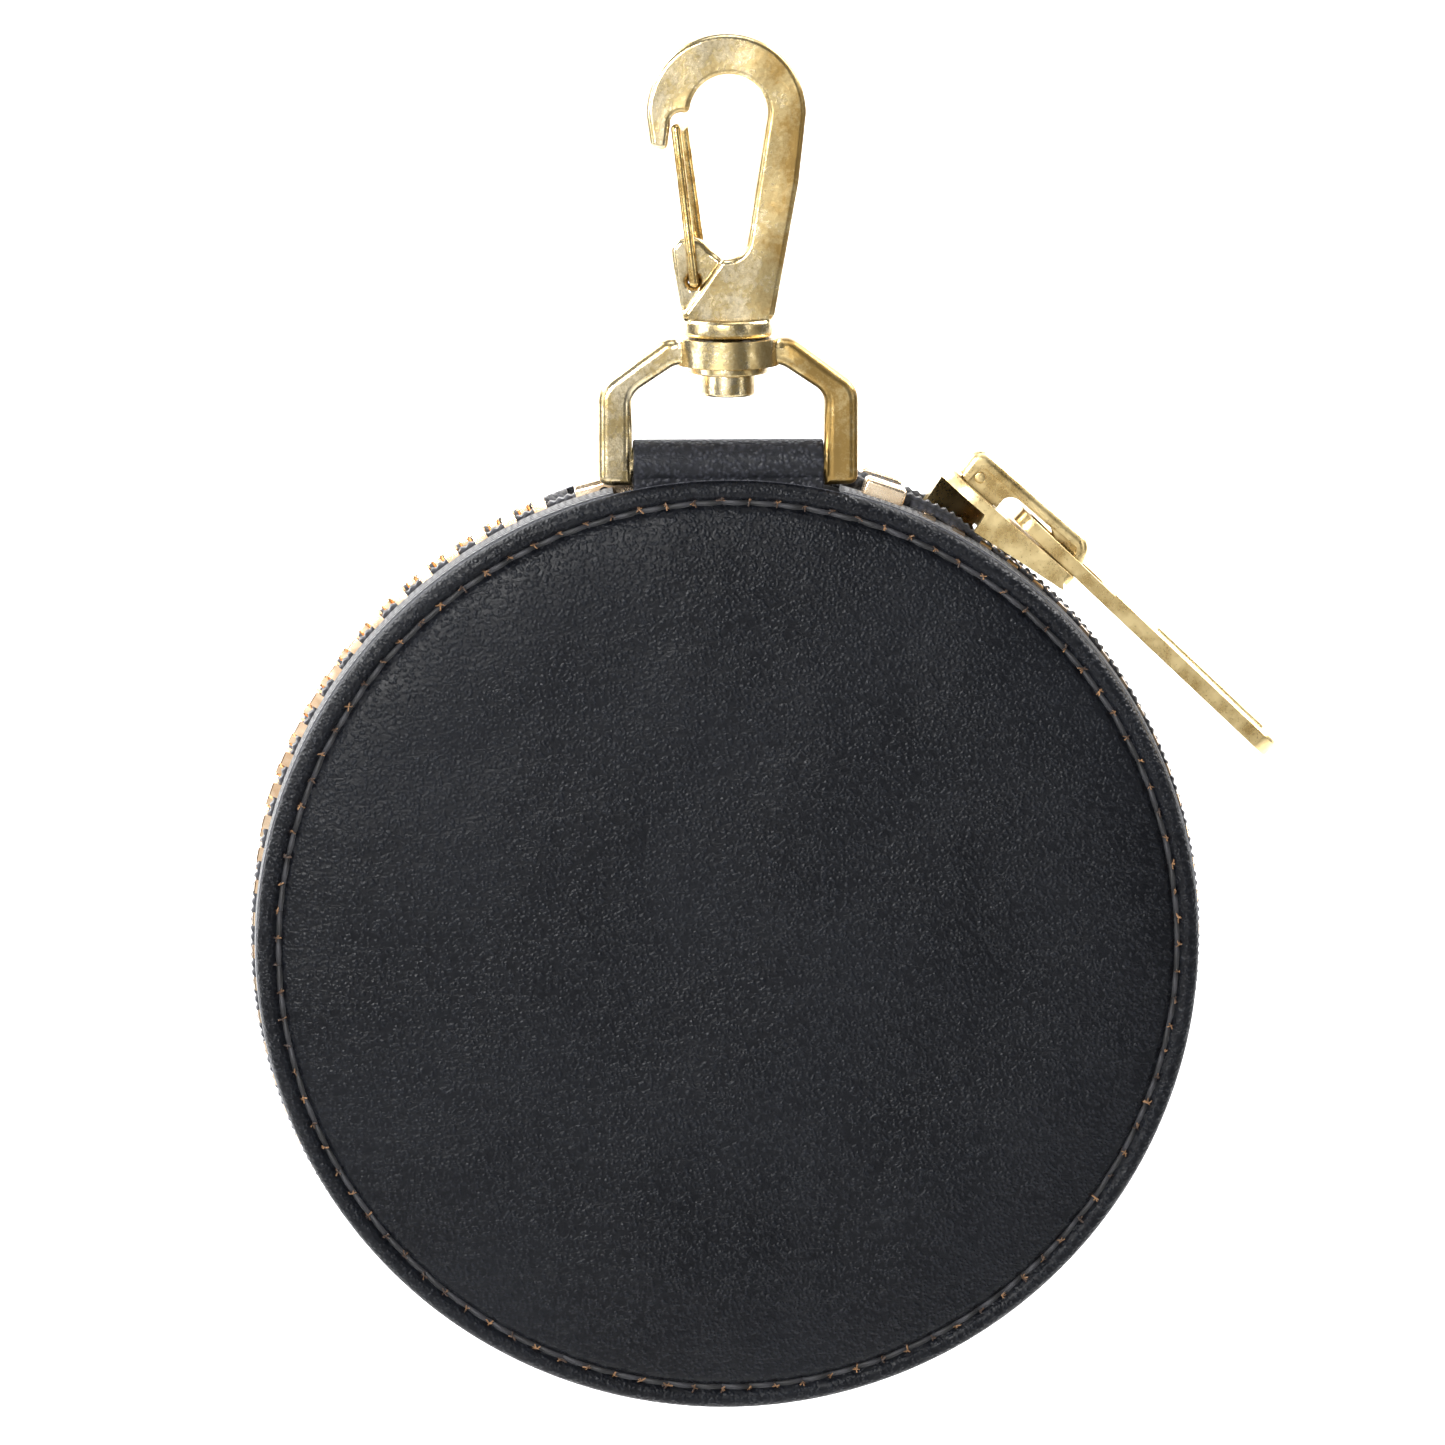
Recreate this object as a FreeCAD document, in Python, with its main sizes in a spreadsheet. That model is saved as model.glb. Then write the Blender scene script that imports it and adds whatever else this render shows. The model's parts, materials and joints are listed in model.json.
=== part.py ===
import FreeCAD, Part
import math
import os
import re

import Sketcher
from FreeCAD import Placement, Rotation, Vector

# A round zip-round leather coin purse that hangs from a swivel hook, in millimetres.
# Frame: origin at the centre of the hook's round bight, X to the right, Y from front to back, Z up.

SIZES = {
    # leather disc and what lies behind it
    "panel_radius": 48.3, "half_thick": 9.0, "leather_thick": 1.4, "edge_round": 0.7,
    "seam_inset": 2.2, "groove_wide": 1.3, "groove_deep": 0.5, "thread_thick": 0.5,
    "rim_margin": 4.3, "board_thick": 0.6, "board_gap": 0.2, "foam_thick": 1.7, "lining_thick": 0.7,
    # zip tape, given by how far it stands proud of the leather
    "tape_proud": 0.2, "tape_thick": 0.6, "tape_edge": 1.6, "bead_thick": 1.7, "bead_gap": 0.15,
    "tape_start": 76.0, "tape_end": 104.0, "back_tape_end": 109.5,
    # zip chain: places round the edge are angles from +X towards +Z
    "tooth_step": 4.0, "tooth_wide": 1.4, "tooth_root": 3.4, "tooth_lap": 0.9,
    "tooth_rise": 0.8, "tooth_drop": 1.6, "chain_start": 65.0, "splay_start": 56.0,
    "splay_full": 62.0, "splay": 2.75, "chain_teeth": 79.0,
    "stop_angle": 71.0, "stop_long": 4.4, "stop_tall": 2.1, "stop_wide": 2.6, "stop_off": 4.0,
    "end_stop_angle": 105.0, "end_stop_long": 5.9, "end_stop_wide": 7.2, "end_stop_tall": 2.8,
    "end_stop_hole": 1.2, "end_stop_sink": 1.7,
    # hinge strip of leather across the top
    "strip_start": 78.0, "strip_end": 101.0, "strip_thick": 0.6, "strip_gap": 0.05,
    # slider, its cap and the lock inside
    "slider_angle": 56.35, "slider_tilt": 7.5, "slider_long": 17.6, "slider_wide": 11.2,
    "slider_rise": 3.7, "blade_thick": 1.1, "flange_thick": 1.0, "flange_long": 11.4,
    "flange_gap": 0.35, "inner_gap": 1.0, "inner_thick": 0.9, "inner_long": 16.0, "inner_wide": 10.4,
    "post_wide": 2.6, "post_near": 2.4, "post_far": 8.0,
    "cap_wide": 4.4, "cap_tall": 3.75, "cap_wall": 0.8, "arch_tall": 2.15, "arch_front": -1.6,
    "arch_back": 5.2, "pin_radius": 0.6, "pin_place": -4.9, "pin_high": 1.3, "lug_wide": 2.0,
    "spring_thick": 0.3, "spring_wide": 2.2,
    # puller
    "puller_long": 36.0, "puller_wide": 7.4, "puller_thin": 1.45, "puller_thick": 1.85,
    "puller_step": 12.2, "eye_long": 10.3, "eye_wide": 4.9, "crossbar_long": 1.45,
    "pivot_place": 1.2, "pivot_high": 1.05, "puller_lean": 2.4,
    # swivel hook
    "bight_radius": 3.95, "hook_radius": 8.1, "hook_thick": 4.2, "cheek_thick": 2.4,
    "collar_radius": 4.6, "collar_top": -20.75, "collar_tall": 2.0, "stem_radius": 1.5,
    "stem_sink": 3.2, "rivet_radius": 2.75, "rivet_tall": 2.3, "washer_radius": 4.05,
    "washer_thick": 0.8, "swivel_gap": 0.06, "swivel_play": 0.1,
    "gate_wire": 1.0, "gate_gap": 0.1, "gate_pivot_across": -3.5, "gate_pivot_up": -17.05,
    "gate_top_across": -5.35, "gate_top_up": -1.5, "gate_offset": 0.9,
    # square ring and the leather tab round its bar
    "ring_half": 13.2, "ring_side": 3.4, "ring_thick": 3.5, "ring_drop": 12.7, "ring_tail": 2.3,
    "ring_bar": 1.45, "hub_radius": 5.2, "hub_step": 0.05, "ring_top_half": 6.4,
    "shoulder_drop": 5.0, "ring_band": 2.7,
    "tab_wide": 19.4, "tab_leather": 0.75, "tab_play": 0.1, "tab_front": 0.05, "tab_thick": 2.15,
    "bar_back": 3.1, "bar_gap": 0.25,
}

DERIVED = {
    "centre_y": "half_thick - bar_back",
    "ring_top": "collar_top - collar_tall - swivel_play",
    "bar_z": "ring_top - ring_drop",
    "bar_up": "ring_bar + bar_gap",
    "centre_z": "bar_z - bar_up - panel_radius",
    "panel_inner": "half_thick - leather_thick",
    "seam_radius": "panel_radius - seam_inset",
    "core_radius": "panel_radius - rim_margin",
    "board_inner": "panel_inner - board_thick",
    "foam_inner": "board_inner - foam_thick",
    "lining_inner": "foam_inner - lining_thick",
    "tape_radius": "panel_radius + tape_proud",
    "tape_inner": "tape_radius - tape_thick",
    "bead_radius": "tape_radius - tape_thick / 2",
    "bead_off": "post_wide / 2 + bead_gap + bead_thick / 2",
    "strip_radius": "tape_inner - tape_thick / 2",
    "tooth_out": "tape_radius + tooth_rise",
    "tooth_in": "tape_radius - tooth_drop",
    "slider_radius": "tape_radius + slider_rise",
    "flange_foot": "bead_radius + bead_thick / 2 + flange_gap",
    "inner_foot": "core_radius + inner_gap",
    "inner_top": "inner_foot + inner_thick",
    "ring_inner": "ring_half - ring_side",
    "hub_tall": "ring_band + hub_step",
    "washer_top": "ring_top - hub_tall - swivel_gap",
    "rivet_top": "washer_top - washer_thick",
}

doc = FreeCAD.newDocument("CoinPurse")
sheet = doc.addObject("Spreadsheet::Sheet", "Sizes")
PARTS = []


def fill_sheet():
    for row, (alias, number) in enumerate(SIZES.items(), start=1):
        sheet.set(f"A{row}", alias)
        sheet.set(f"B{row}", str(number))
        sheet.setAlias(f"B{row}", alias)
    doc.recompute()


def tie(text):
    """Write a formula of size names as an expression on the sheet."""
    def swap(match):
        word = match.group(0)
        if word in DERIVED:
            return f"({tie(DERIVED[word])})"
        return f"Sizes.{word}" if word in SIZES else word
    return re.sub(r"[a-z][a-z_0-9]*", swap, str(text))


def value(text):
    result = sheet.evalExpression(tie(text))
    return float(getattr(result, "Value", result))


def bind(target, **formulas):
    """Bind properties to formulas of size names."""
    for name, text in formulas.items():
        target.setExpression(name, tie(text))


def body(name, place=None):
    piece = doc.addObject("PartDesign::Body", name)
    piece.Label = name
    piece.Placement = place or Placement()
    PARTS.append(piece)
    return piece


def sketch_on(piece, plane, name, offset=None):
    sketch = piece.newObject("Sketcher::SketchObject", f"{piece.Name}_{name}")
    plane_object = next(item for item in piece.Origin.OriginFeatures if item.Role == plane)
    sketch.AttachmentSupport = [(plane_object, "")]
    sketch.MapMode = "FlatFace"
    if offset:
        bind(sketch, **{"AttachmentOffset.Base.z": offset})
    return sketch


def arc_between(start, end, radius):
    """An arc of less than half a turn from start to end, counter-clockwise for a positive radius."""
    chord = end - start
    left = Vector(-chord.y, chord.x, 0).normalize()
    reach = math.sqrt(max(radius * radius - chord.Length ** 2 / 4, 0))
    centre = (start + end) / 2 + left * math.copysign(reach, radius)
    first, last = (start, end) if radius > 0 else (end, start)
    angles = [math.atan2(spot.y - centre.y, spot.x - centre.x) for spot in (first, last)]
    circle = Part.Circle(centre, Vector(0, 0, 1), abs(radius))
    return Part.ArcOfCircle(circle, *angles)


def outline(sketch, points):
    """Draw a closed loop; a point's third entry is the radius of the arc that reaches it."""
    spots = [Vector(value(point[0]), value(point[1]), 0) for point in points]
    base = sketch.GeometryCount
    count = len(points)
    ends = []
    for index, point in enumerate(points):
        start, end = spots[index - 1], spots[index]
        radius = value(point[2]) if len(point) > 2 else 0
        line = arc_between(start, end, radius) if radius else Part.LineSegment(start, end)
        sketch.addGeometry(line, False)
        ends.append((2, 1) if radius < 0 else (1, 2))
    for index, point in enumerate(points):
        geometry = base + index
        following = (index + 1) % count
        join = ("Coincident", geometry, ends[index][1], base + following, ends[following][0])
        sketch.addConstraint(Sketcher.Constraint(*join))
        for kind, entry in (("DistanceX", 0), ("DistanceY", 1)):
            spot = spots[index][entry]
            hold(sketch, (kind, -1, 1, geometry, ends[index][1], spot), point[entry])
        if len(point) > 2:
            hold(sketch, ("Radius", geometry, abs(value(point[2]))), str(point[2]).lstrip("-"))
    return sketch


def hold(sketch, terms, text):
    """Add a dimension and bind it to its formula."""
    number = sketch.addConstraint(Sketcher.Constraint(*terms))
    name = f"size{number}"
    sketch.renameConstraint(number, name)
    if re.search("[a-z]", str(text)):
        sketch.setExpression(f"Constraints.{name}", tie(text))


def circle_on(sketch, across, up, radius):
    centre = Vector(value(across), value(up), 0)
    geometry = sketch.addGeometry(Part.Circle(centre, Vector(0, 0, 1), value(radius)), False)
    hold(sketch, ("DistanceX", -1, 1, geometry, 3, centre.x), across)
    hold(sketch, ("DistanceY", -1, 1, geometry, 3, centre.y), up)
    hold(sketch, ("Radius", geometry, value(radius)), radius)


def box_points(left, right, low, high):
    return [(left, low), (right, low), (right, high), (left, high)]


def feature(piece, kind, name, sketch, **formulas):
    made = piece.newObject(f"PartDesign::{kind}", f"{piece.Name}_{name}")
    made.Profile = sketch
    bind(made, **formulas)
    return made


def pad(piece, plane, name, points, length, offset=None, both=True, kind="Pad"):
    """Pad or pocket an outline; both sides of its plane unless told otherwise."""
    sketch = outline(sketch_on(piece, plane, name + "_outline", offset), points)
    made = feature(piece, kind, name, sketch, Length=length)
    made.Midplane = both
    return made


def turn(piece, name, points, angle="360", kind="Revolution"):
    """Revolve an outline of (radius, height) points about Z, half each way from the XZ plane."""
    sketch = outline(sketch_on(piece, "XZ_Plane", name + "_outline"), points)
    made = feature(piece, kind, name, sketch)
    made.ReferenceAxis = (sketch, ["V_Axis"])
    made.Midplane = True
    bind(made, Angle=angle)
    return made


def round_edges(piece, name, radius, chosen, kind="Fillet"):
    """Fillet or chamfer the edges of the piece's tip that chosen(edge) accepts."""
    doc.recompute()
    tip = piece.Tip
    edges = [f"Edge{i}" for i, edge in enumerate(tip.Shape.Edges, start=1) if chosen(edge)]
    made = piece.newObject(f"PartDesign::{kind}", f"{piece.Name}_{name}")
    made.Base = (tip, edges)
    bind(made, **{"Radius" if kind == "Fillet" else "Size": radius})
    doc.recompute()
    return made


def spans(edge, axis):
    """True for a straight edge along one axis."""
    box = edge.BoundBox
    lengths = {"x": box.XLength, "y": box.YLength, "z": box.ZLength}
    others = sum(size for name, size in lengths.items() if name != axis)
    return lengths[axis] > 0.05 and others < 1e-4


def facing(side):
    """The disc's place for front or back: local Z points out of that face, local Y up."""
    about = Rotation(Vector(1, 0, 0), 90)
    if side == "back":
        about = Rotation(Vector(0, 0, 1), 180) * about
    return Placement(Vector(0, value("centre_y"), value("centre_z")), about)


def round_edge_place(angle, lean=0.0):
    """A place at an angle round the edge: local X runs clockwise along it, local Z points out."""
    about = Rotation(Vector(0, 1, 0), 90 - angle + lean)
    return Placement(Vector(0, value("centre_y"), value("centre_z")), about)


def gap_place(side, start, end):
    """The disc's place turned so that a part revolution leaves out start to end at the top."""
    middle = (start + end) / 2
    if side == "back":
        middle = 180 - middle
    return facing(side) * Placement(Vector(), Rotation(Vector(0, 0, 1), middle - 180))


# ---- leather shells -------------------------------------------------------------------------

def make_panel(side):
    piece = body(f"{side}_panel", facing(side))
    turn(piece, "disc", box_points("0", "panel_radius", "panel_inner", "half_thick"))
    round_edges(piece, "rim", "min(edge_round; leather_thick / 2)",
                lambda edge: edge.BoundBox.ZMin > value("half_thick") - 1e-4
                and edge.Length > value("panel_radius"))
    groove = box_points("seam_radius - groove_wide / 2", "seam_radius + groove_wide / 2",
                        "half_thick - groove_deep", "half_thick + 1")
    turn(piece, "groove", groove, kind="Groove")


def make_disc(name, side, radius, inner, outer):
    piece = body(f"{side}_{name}", facing(side))
    turn(piece, "disc", box_points("0", radius, inner, outer))


def make_seam(side):
    piece = body(f"{side}_seam_thread", facing(side))
    sketch = sketch_on(piece, "XZ_Plane", "section")
    circle_on(sketch, "seam_radius", "half_thick - groove_deep + thread_thick / 2", "thread_thick / 2")
    ring = feature(piece, "Revolution", "ring", sketch, Angle="360")
    ring.ReferenceAxis = (sketch, ["V_Axis"])


def make_tape(side, end):
    """Woven tape: a flange sewn behind the leather, a wall round the edge and a corded bead."""
    start_angle, end_angle = value("tape_start"), value(end)
    piece = body(f"{side}_tape", gap_place(side, start_angle, end_angle))
    wall = [("core_radius", "board_inner"), ("tape_inner", "board_inner"),
            ("tape_inner", "tape_edge"), ("tape_radius", "tape_edge"),
            ("tape_radius", "panel_inner"), ("core_radius", "panel_inner")]
    angle = f"360 - {end} + tape_start"
    turn(piece, "wall", wall, angle=angle)
    sketch = sketch_on(piece, "XZ_Plane", "bead_section")
    circle_on(sketch, "bead_radius", "bead_off", "bead_thick / 2")
    bead = feature(piece, "Revolution", "bead", sketch, Angle=angle)
    bead.ReferenceAxis = (sketch, ["V_Axis"])
    bead.Midplane = True


def make_hinge_strip():
    """Leather strip across the top that the two shells open on, sewn into the back shell."""
    start_angle, end_angle = value("strip_start"), value("strip_end")
    piece = body("hinge_strip", gap_place("front", start_angle, end_angle))
    inner = "strip_radius - strip_thick"
    foot = "core_radius + board_gap"
    outer_side = "strip_gap - panel_inner"
    wall = [(inner, "foam_inner"), (inner, "-board_inner"), (foot, "-board_inner"),
            (foot, outer_side), ("strip_radius", outer_side), ("strip_radius", "foam_inner")]
    turn(piece, "wall", wall, angle="strip_end - strip_start")
    half_turn = Placement(Vector(), Rotation(Vector(0, 0, 1), 180))
    piece.Placement = piece.Placement * half_turn


# ---- zip ------------------------------------------------------------------------------------

def splay_at(angle):
    """How far a tooth row stands apart just ahead of the slider's post."""
    share = (angle - value("splay_start")) / (value("splay_full") - value("splay_start"))
    share = min(max(share, 0), 1)
    return value("splay") * share * share * (3 - 2 * share)


def make_teeth(side):
    """One row of separate teeth: a group of solids, so it is a plain shape placed by a loop."""
    forward = -1 if side == "front" else 1
    shift = 0 if side == "front" else value("tooth_step") / 2
    wide, low, high = value("tooth_wide"), value("tooth_in"), value("tooth_out")
    root, lap = value("tooth_root"), value("tooth_lap")
    centre = Vector(0, value("centre_y"), value("centre_z"))
    teeth = []
    for index in range(int(value("chain_teeth"))):
        angle = value("chain_start") + shift - index * value("tooth_step")
        apart = splay_at(angle)
        near, far = apart - lap, apart + root
        corner = Vector(-wide / 2, near if forward > 0 else -far, low)
        tooth = Part.makeBox(wide, far - near, high - low, corner)
        edges = [edge for edge in tooth.Edges if spans(edge, "x") and edge.BoundBox.ZMax > high - 1e-4]
        tooth = tooth.makeFillet(value("tooth_rise") / 2, edges)
        tooth.rotate(Vector(), Vector(0, 1, 0), 90 - angle)
        tooth.translate(centre)
        teeth.append(tooth)
    piece = doc.addObject("Part::Feature", f"{side}_teeth")
    piece.Label = f"{side}_teeth"
    piece.Shape = Part.makeCompound(teeth)
    PARTS.append(piece)


def make_top_stop(side):
    piece = body(f"top_stop_{side}", round_edge_place(value("stop_angle")))
    sign = "-" if side == "front" else ""
    near, far = f"{sign}(stop_off - stop_wide / 2)", f"{sign}(stop_off + stop_wide / 2)"
    points = [("-stop_long / 2", near), ("stop_long / 2", near), ("stop_long / 2", far), ("-stop_long / 2", far)]
    pad(piece, "XY_Plane", "block", points, "stop_tall", offset="tape_radius - 0.3", both=False)
    round_edges(piece, "soften", "min(0.5; stop_wide / 5)",
                lambda edge: edge.BoundBox.ZMin > value("tape_radius") + 1)


def make_bottom_stop():
    """The solid end of the chain that clasps both tapes, with a round hole through its face."""
    piece = body("bottom_stop", round_edge_place(value("end_stop_angle")))
    points = box_points("-end_stop_long / 2", "end_stop_long / 2", "-end_stop_wide / 2", "end_stop_wide / 2")
    pad(piece, "XY_Plane", "block", points, "end_stop_tall", offset="tape_radius - end_stop_sink", both=False)
    round_edges(piece, "soften", "min(0.6; end_stop_tall / 4)",
                lambda edge: edge.BoundBox.ZMin > value("tape_radius + end_stop_tall - end_stop_sink") - 0.01)
    sketch = sketch_on(piece, "XZ_Plane", "hole_circle")
    circle_on(sketch, "0", "tape_radius - end_stop_sink + end_stop_tall / 2", "end_stop_hole / 2")
    hole = feature(piece, "Pocket", "hole", sketch, Length="end_stop_wide * 2")
    hole.Midplane = True


def tilted(across, height):
    """A point of the slider's top, which leans nose up, in the frame of the chain below it."""
    return (f"({across}) * cos(slider_tilt) + ({height}) * sin(slider_tilt)",
            f"slider_radius + ({height}) * cos(slider_tilt) - ({across}) * sin(slider_tilt)")


def make_slider_body():
    """Two blades joined by a wedge-shaped post, with flanges that close the rows behind it."""
    piece = body("slider_body", round_edge_place(value("slider_angle")))
    half, wide = "slider_long / 2", "slider_wide"
    blade = [tilted(f"-{half}", "-blade_thick"), tilted(half, "-blade_thick"),
             tilted(half, "0"), tilted(f"-{half}", "0")]
    pad(piece, "XZ_Plane", "top_blade", blade, wide)
    round_edges(piece, "nose", "slider_wide / 2.3",
                lambda edge: edge.BoundBox.XMax < -value("slider_long") / 2 + 0.3
                and edge.BoundBox.YLength < 1e-4)
    round_edges(piece, "tail", "flange_thick * 0.9",
                lambda edge: edge.BoundBox.XMin > value("slider_long") / 2 - 0.4
                and edge.BoundBox.YLength < 1e-4)
    flange = [(f"{half} - flange_long", "flange_foot"), (f"{half} - 0.4", "flange_foot"),
              tilted(f"{half} - 1", "-blade_thick / 2"), tilted(f"{half} - flange_long", "-blade_thick / 2")]
    sides = "(slider_wide - flange_thick) / 2"
    for name, middle in (("near_flange", f"-{sides}"), ("far_flange", sides)):
        pad(piece, "XZ_Plane", name, flange, "flange_thick", offset=middle)
    inner = box_points("-inner_long / 2", "inner_long / 2", "inner_foot", "inner_top")
    pad(piece, "XZ_Plane", "inner_blade", inner, "inner_wide")
    post = [("-post_near", "post_wide / 10"), ("-post_far + 2", "post_wide / 2"), ("-post_far", "post_wide / 2"),
            ("-post_far", "-post_wide / 2"), ("-post_far + 2", "-post_wide / 2"), ("-post_near", "-post_wide / 10")]
    pad(piece, "XY_Plane", "post", post, "slider_radius + 0.2 - inner_foot", offset="inner_foot", both=False)
    lug = [tilted("pin_place - 1.3", "-0.3"), tilted("pin_place + 1.3", "-0.3"),
           tilted("pin_place + 1", "pin_high + 0.9"), tilted("pin_place - 1", "pin_high + 0.9")]
    pad(piece, "XZ_Plane", "lug", lug, "lug_wide")
    sketch = sketch_on(piece, "XZ_Plane", "pin_hole_circle")
    circle_on(sketch, *tilted("pin_place", "pin_high"), "pin_radius")
    hole = feature(piece, "Pocket", "pin_hole", sketch, Length="lug_wide * 2")
    hole.Midplane = True


def tilt_place():
    """The leaning top face of the slider: local X runs along it and local Z out of it."""
    tilt, radius = math.radians(value("slider_tilt")), value("slider_radius")
    top = Placement(Vector(-math.sin(tilt) * radius, 0, math.cos(tilt) * radius), Rotation())
    return round_edge_place(value("slider_angle"), value("slider_tilt")) * top


def make_slider_cap():
    """Domed cap with a trough along each side, hollow for the lock, arched for the puller."""
    piece = body("slider_cap", tilt_place())
    front, back = "-slider_long / 2 + 1.6", "slider_long / 2 + 0.3"
    side = [(f"{front} + 1.6", "0.05"), (f"{front} + 0.1", "0.5"), (front, "cap_tall - 1.5"),
            (f"{front} + 1.4", "cap_tall", "-1.5"), (f"{back} - 2.1", "cap_tall"),
            (f"{back} - 0.5", "cap_tall - 1.1", "-2"), (back, "cap_tall - 2.4"), (back, "0.05")]
    pad(piece, "XZ_Plane", "shell", side, "cap_wide")
    round_edges(piece, "crown", "cap_wide / 5",
                lambda edge: edge.BoundBox.YLength < 1e-4 and edge.BoundBox.ZMin > value("cap_tall") - 1.6)
    trough = [(f"{front} + 1.5", "-0.5"), (f"{front} + 1.5", "cap_tall - 1.9"), (f"{front} + 2.1", "cap_tall - 1.35"),
              (f"{back} - 1.8", "cap_tall - 1.35"), (f"{back} - 1.3", "cap_tall - 2"), (f"{back} - 1.3", "-0.5")]
    for name, sign in (("near_trough", "-"), ("far_trough", "")):
        pad(piece, "XZ_Plane", name, trough, "cap_wide * 0.2", offset=f"{sign}cap_wide / 2", kind="Pocket")
    arch = [("arch_front", "-0.5"), ("arch_front", "arch_tall - 0.9"), ("arch_front + 1.2", "arch_tall", "-1.5"),
            ("arch_back - 1.2", "arch_tall"), ("arch_back", "arch_tall - 0.9", "-1.5"), ("arch_back", "-0.5")]
    pad(piece, "XZ_Plane", "arch", arch, "cap_wide * 2", kind="Pocket")
    hollow = [(f"{front} + cap_wall", "-0.5"), (f"{front} + cap_wall", "cap_tall - cap_wall - 0.3"),
              (f"{back} - 1.4", "cap_tall - cap_wall - 0.3"), (f"{back} - 1.4", "-0.5")]
    pad(piece, "XZ_Plane", "hollow", hollow, "spring_wide + 0.2", kind="Pocket")
    sketch = sketch_on(piece, "XZ_Plane", "pin_hole_circle")
    circle_on(sketch, "pin_place", "pin_high", "pin_radius")
    hole = feature(piece, "Pocket", "pin_hole", sketch, Length="cap_wide * 2")
    hole.Midplane = True


def make_cap_pin():
    piece = body("cap_pin", tilt_place())
    sketch = sketch_on(piece, "XZ_Plane", "section")
    circle_on(sketch, "pin_place", "pin_high", "pin_radius")
    pin = feature(piece, "Pad", "pin", sketch, Length="cap_wide * 0.8 + 0.2")
    pin.Midplane = True


def make_lock_spring():
    """Leaf spring pressed flat under the cap's roof, its end bent down as the lock."""
    piece = body("lock_spring", tilt_place())
    top = "cap_tall - cap_wall - 0.3"
    low = f"{top} - spring_thick"
    leaf = [("pin_place - 1.4", low), ("arch_back + 1.2", low), ("arch_back + 1.2", "0.4"),
            ("arch_back + 1.2 + spring_thick", "0.4"), ("arch_back + 1.2 + spring_thick", top),
            ("pin_place - 1.4", top)]
    pad(piece, "XZ_Plane", "leaf", leaf, "spring_wide")


def make_puller():
    """Flat bar with an eye at one end that straddles the cap and a raised panel on its outer face."""
    pivot = tilt_place() * Placement(Vector(value("pivot_place"), 0, value("pivot_high")),
                                     Rotation(Vector(0, 1, 0), value("puller_lean")))
    piece = body("puller", pivot)
    start, thin = "-crossbar_long / 2", "puller_thin / 2"
    side = [(start, f"-{thin}"), (f"{start} + puller_long", f"-{thin}"),
            (f"{start} + puller_long", "puller_thick - puller_thin / 2"),
            ("puller_step", "puller_thick - puller_thin / 2"), ("puller_step", thin), (start, thin)]
    pad(piece, "XZ_Plane", "bar", side, "puller_wide")
    round_edges(piece, "corners", "puller_wide / 4",
                lambda edge: spans(edge, "z") and abs(edge.BoundBox.XMin - value("puller_step")) > 1)
    round_edges(piece, "bevel", "puller_thin / 5",
                lambda edge: edge.BoundBox.ZLength < 1e-4 and abs(edge.BoundBox.ZMax) > value(thin) + 0.1
                and edge.BoundBox.XMax > value("puller_step") + 0.2, kind="Chamfer")
    eye = box_points("crossbar_long / 2", "crossbar_long / 2 + eye_long", "-eye_wide / 2", "eye_wide / 2")
    pad(piece, "XY_Plane", "eye", eye, "puller_thick * 4", kind="Pocket")
    panel = box_points("puller_long / 2", "puller_long - 3", "-puller_wide / 3", "puller_wide / 3")
    pad(piece, "XY_Plane", "panel", panel, "0.3", offset="puller_thick - puller_thin / 2", both=False)


# ---- hook, swivel and ring ------------------------------------------------------------------

def make_hook():
    """Flat cast hook with a thinner cheek that carries the wire gate, on a round collar."""
    piece = body("hook_body")
    left = "-hook_radius - 0.25"
    right = "hook_radius - 0.25"
    base = "collar_top - 0.1"
    band = [(right, "0"), ("-0.25", "hook_radius", "hook_radius"), (left, "0", "hook_radius"),
            ("-7.85", "-3.45"), ("-6.2", "-3.7"), ("-5.9", "-1.05"), ("-4.6", "0.1", "-1.1"),
            ("-bight_radius", "0"), ("0", "bight_radius", "-bight_radius"),
            ("bight_radius", "0", "-bight_radius"), ("1.95", "-12.85"), ("-0.1", "-14.75", "-2.1"),
            ("-0.7", "-14.65"), ("-4.7", "-20.25"), ("-collar_radius", base), ("collar_radius", base),
            ("5.85", "-13.65"), ("7.1", "-6.9")]
    pad(piece, "XZ_Plane", "band", band, "hook_thick")
    cheek = [("-0.5", "-14.85"), ("-1.8", "-13.85"), ("-2.6", "-12.95"), ("-3.4", "-12.55"), ("-5", "-12.65"),
             ("-5.8", "-13.55"), ("-5.7", "-14.75"), ("-4.8", "-20.05"), ("-2.5", "-20.05")]
    pad(piece, "XZ_Plane", "cheek", cheek, "cheek_thick")
    turn(piece, "collar", box_points("0", "collar_radius", "collar_top - collar_tall", "collar_top"))
    bore = box_points("0", "stem_radius", "collar_top - collar_tall - 1",
                      "collar_top - collar_tall + stem_sink")
    turn(piece, "stem_bore", bore, kind="Groove")
    sketch = sketch_on(piece, "XZ_Plane", "gate_hole_circle")
    circle_on(sketch, "gate_pivot_across", "gate_pivot_up", "gate_wire / 2 + gate_gap / 2")
    hole = feature(piece, "Pocket", "gate_hole", sketch, Length="hook_thick * 2")
    hole.Midplane = True


def make_swivel_stem():
    piece = body("swivel_stem")
    shank_top = "collar_top - collar_tall + stem_sink"
    head_low = "rivet_top - rivet_tall"
    points = [("0", head_low), ("rivet_radius", head_low), ("rivet_radius", "rivet_top"),
              ("stem_radius", "rivet_top"), ("stem_radius", shank_top), ("0", shank_top)]
    turn(piece, "shank", points)
    round_edges(piece, "head", "rivet_tall / 6",
                lambda edge: edge.BoundBox.ZMax < value(head_low) + 1e-4 and edge.Length > 1)


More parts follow.
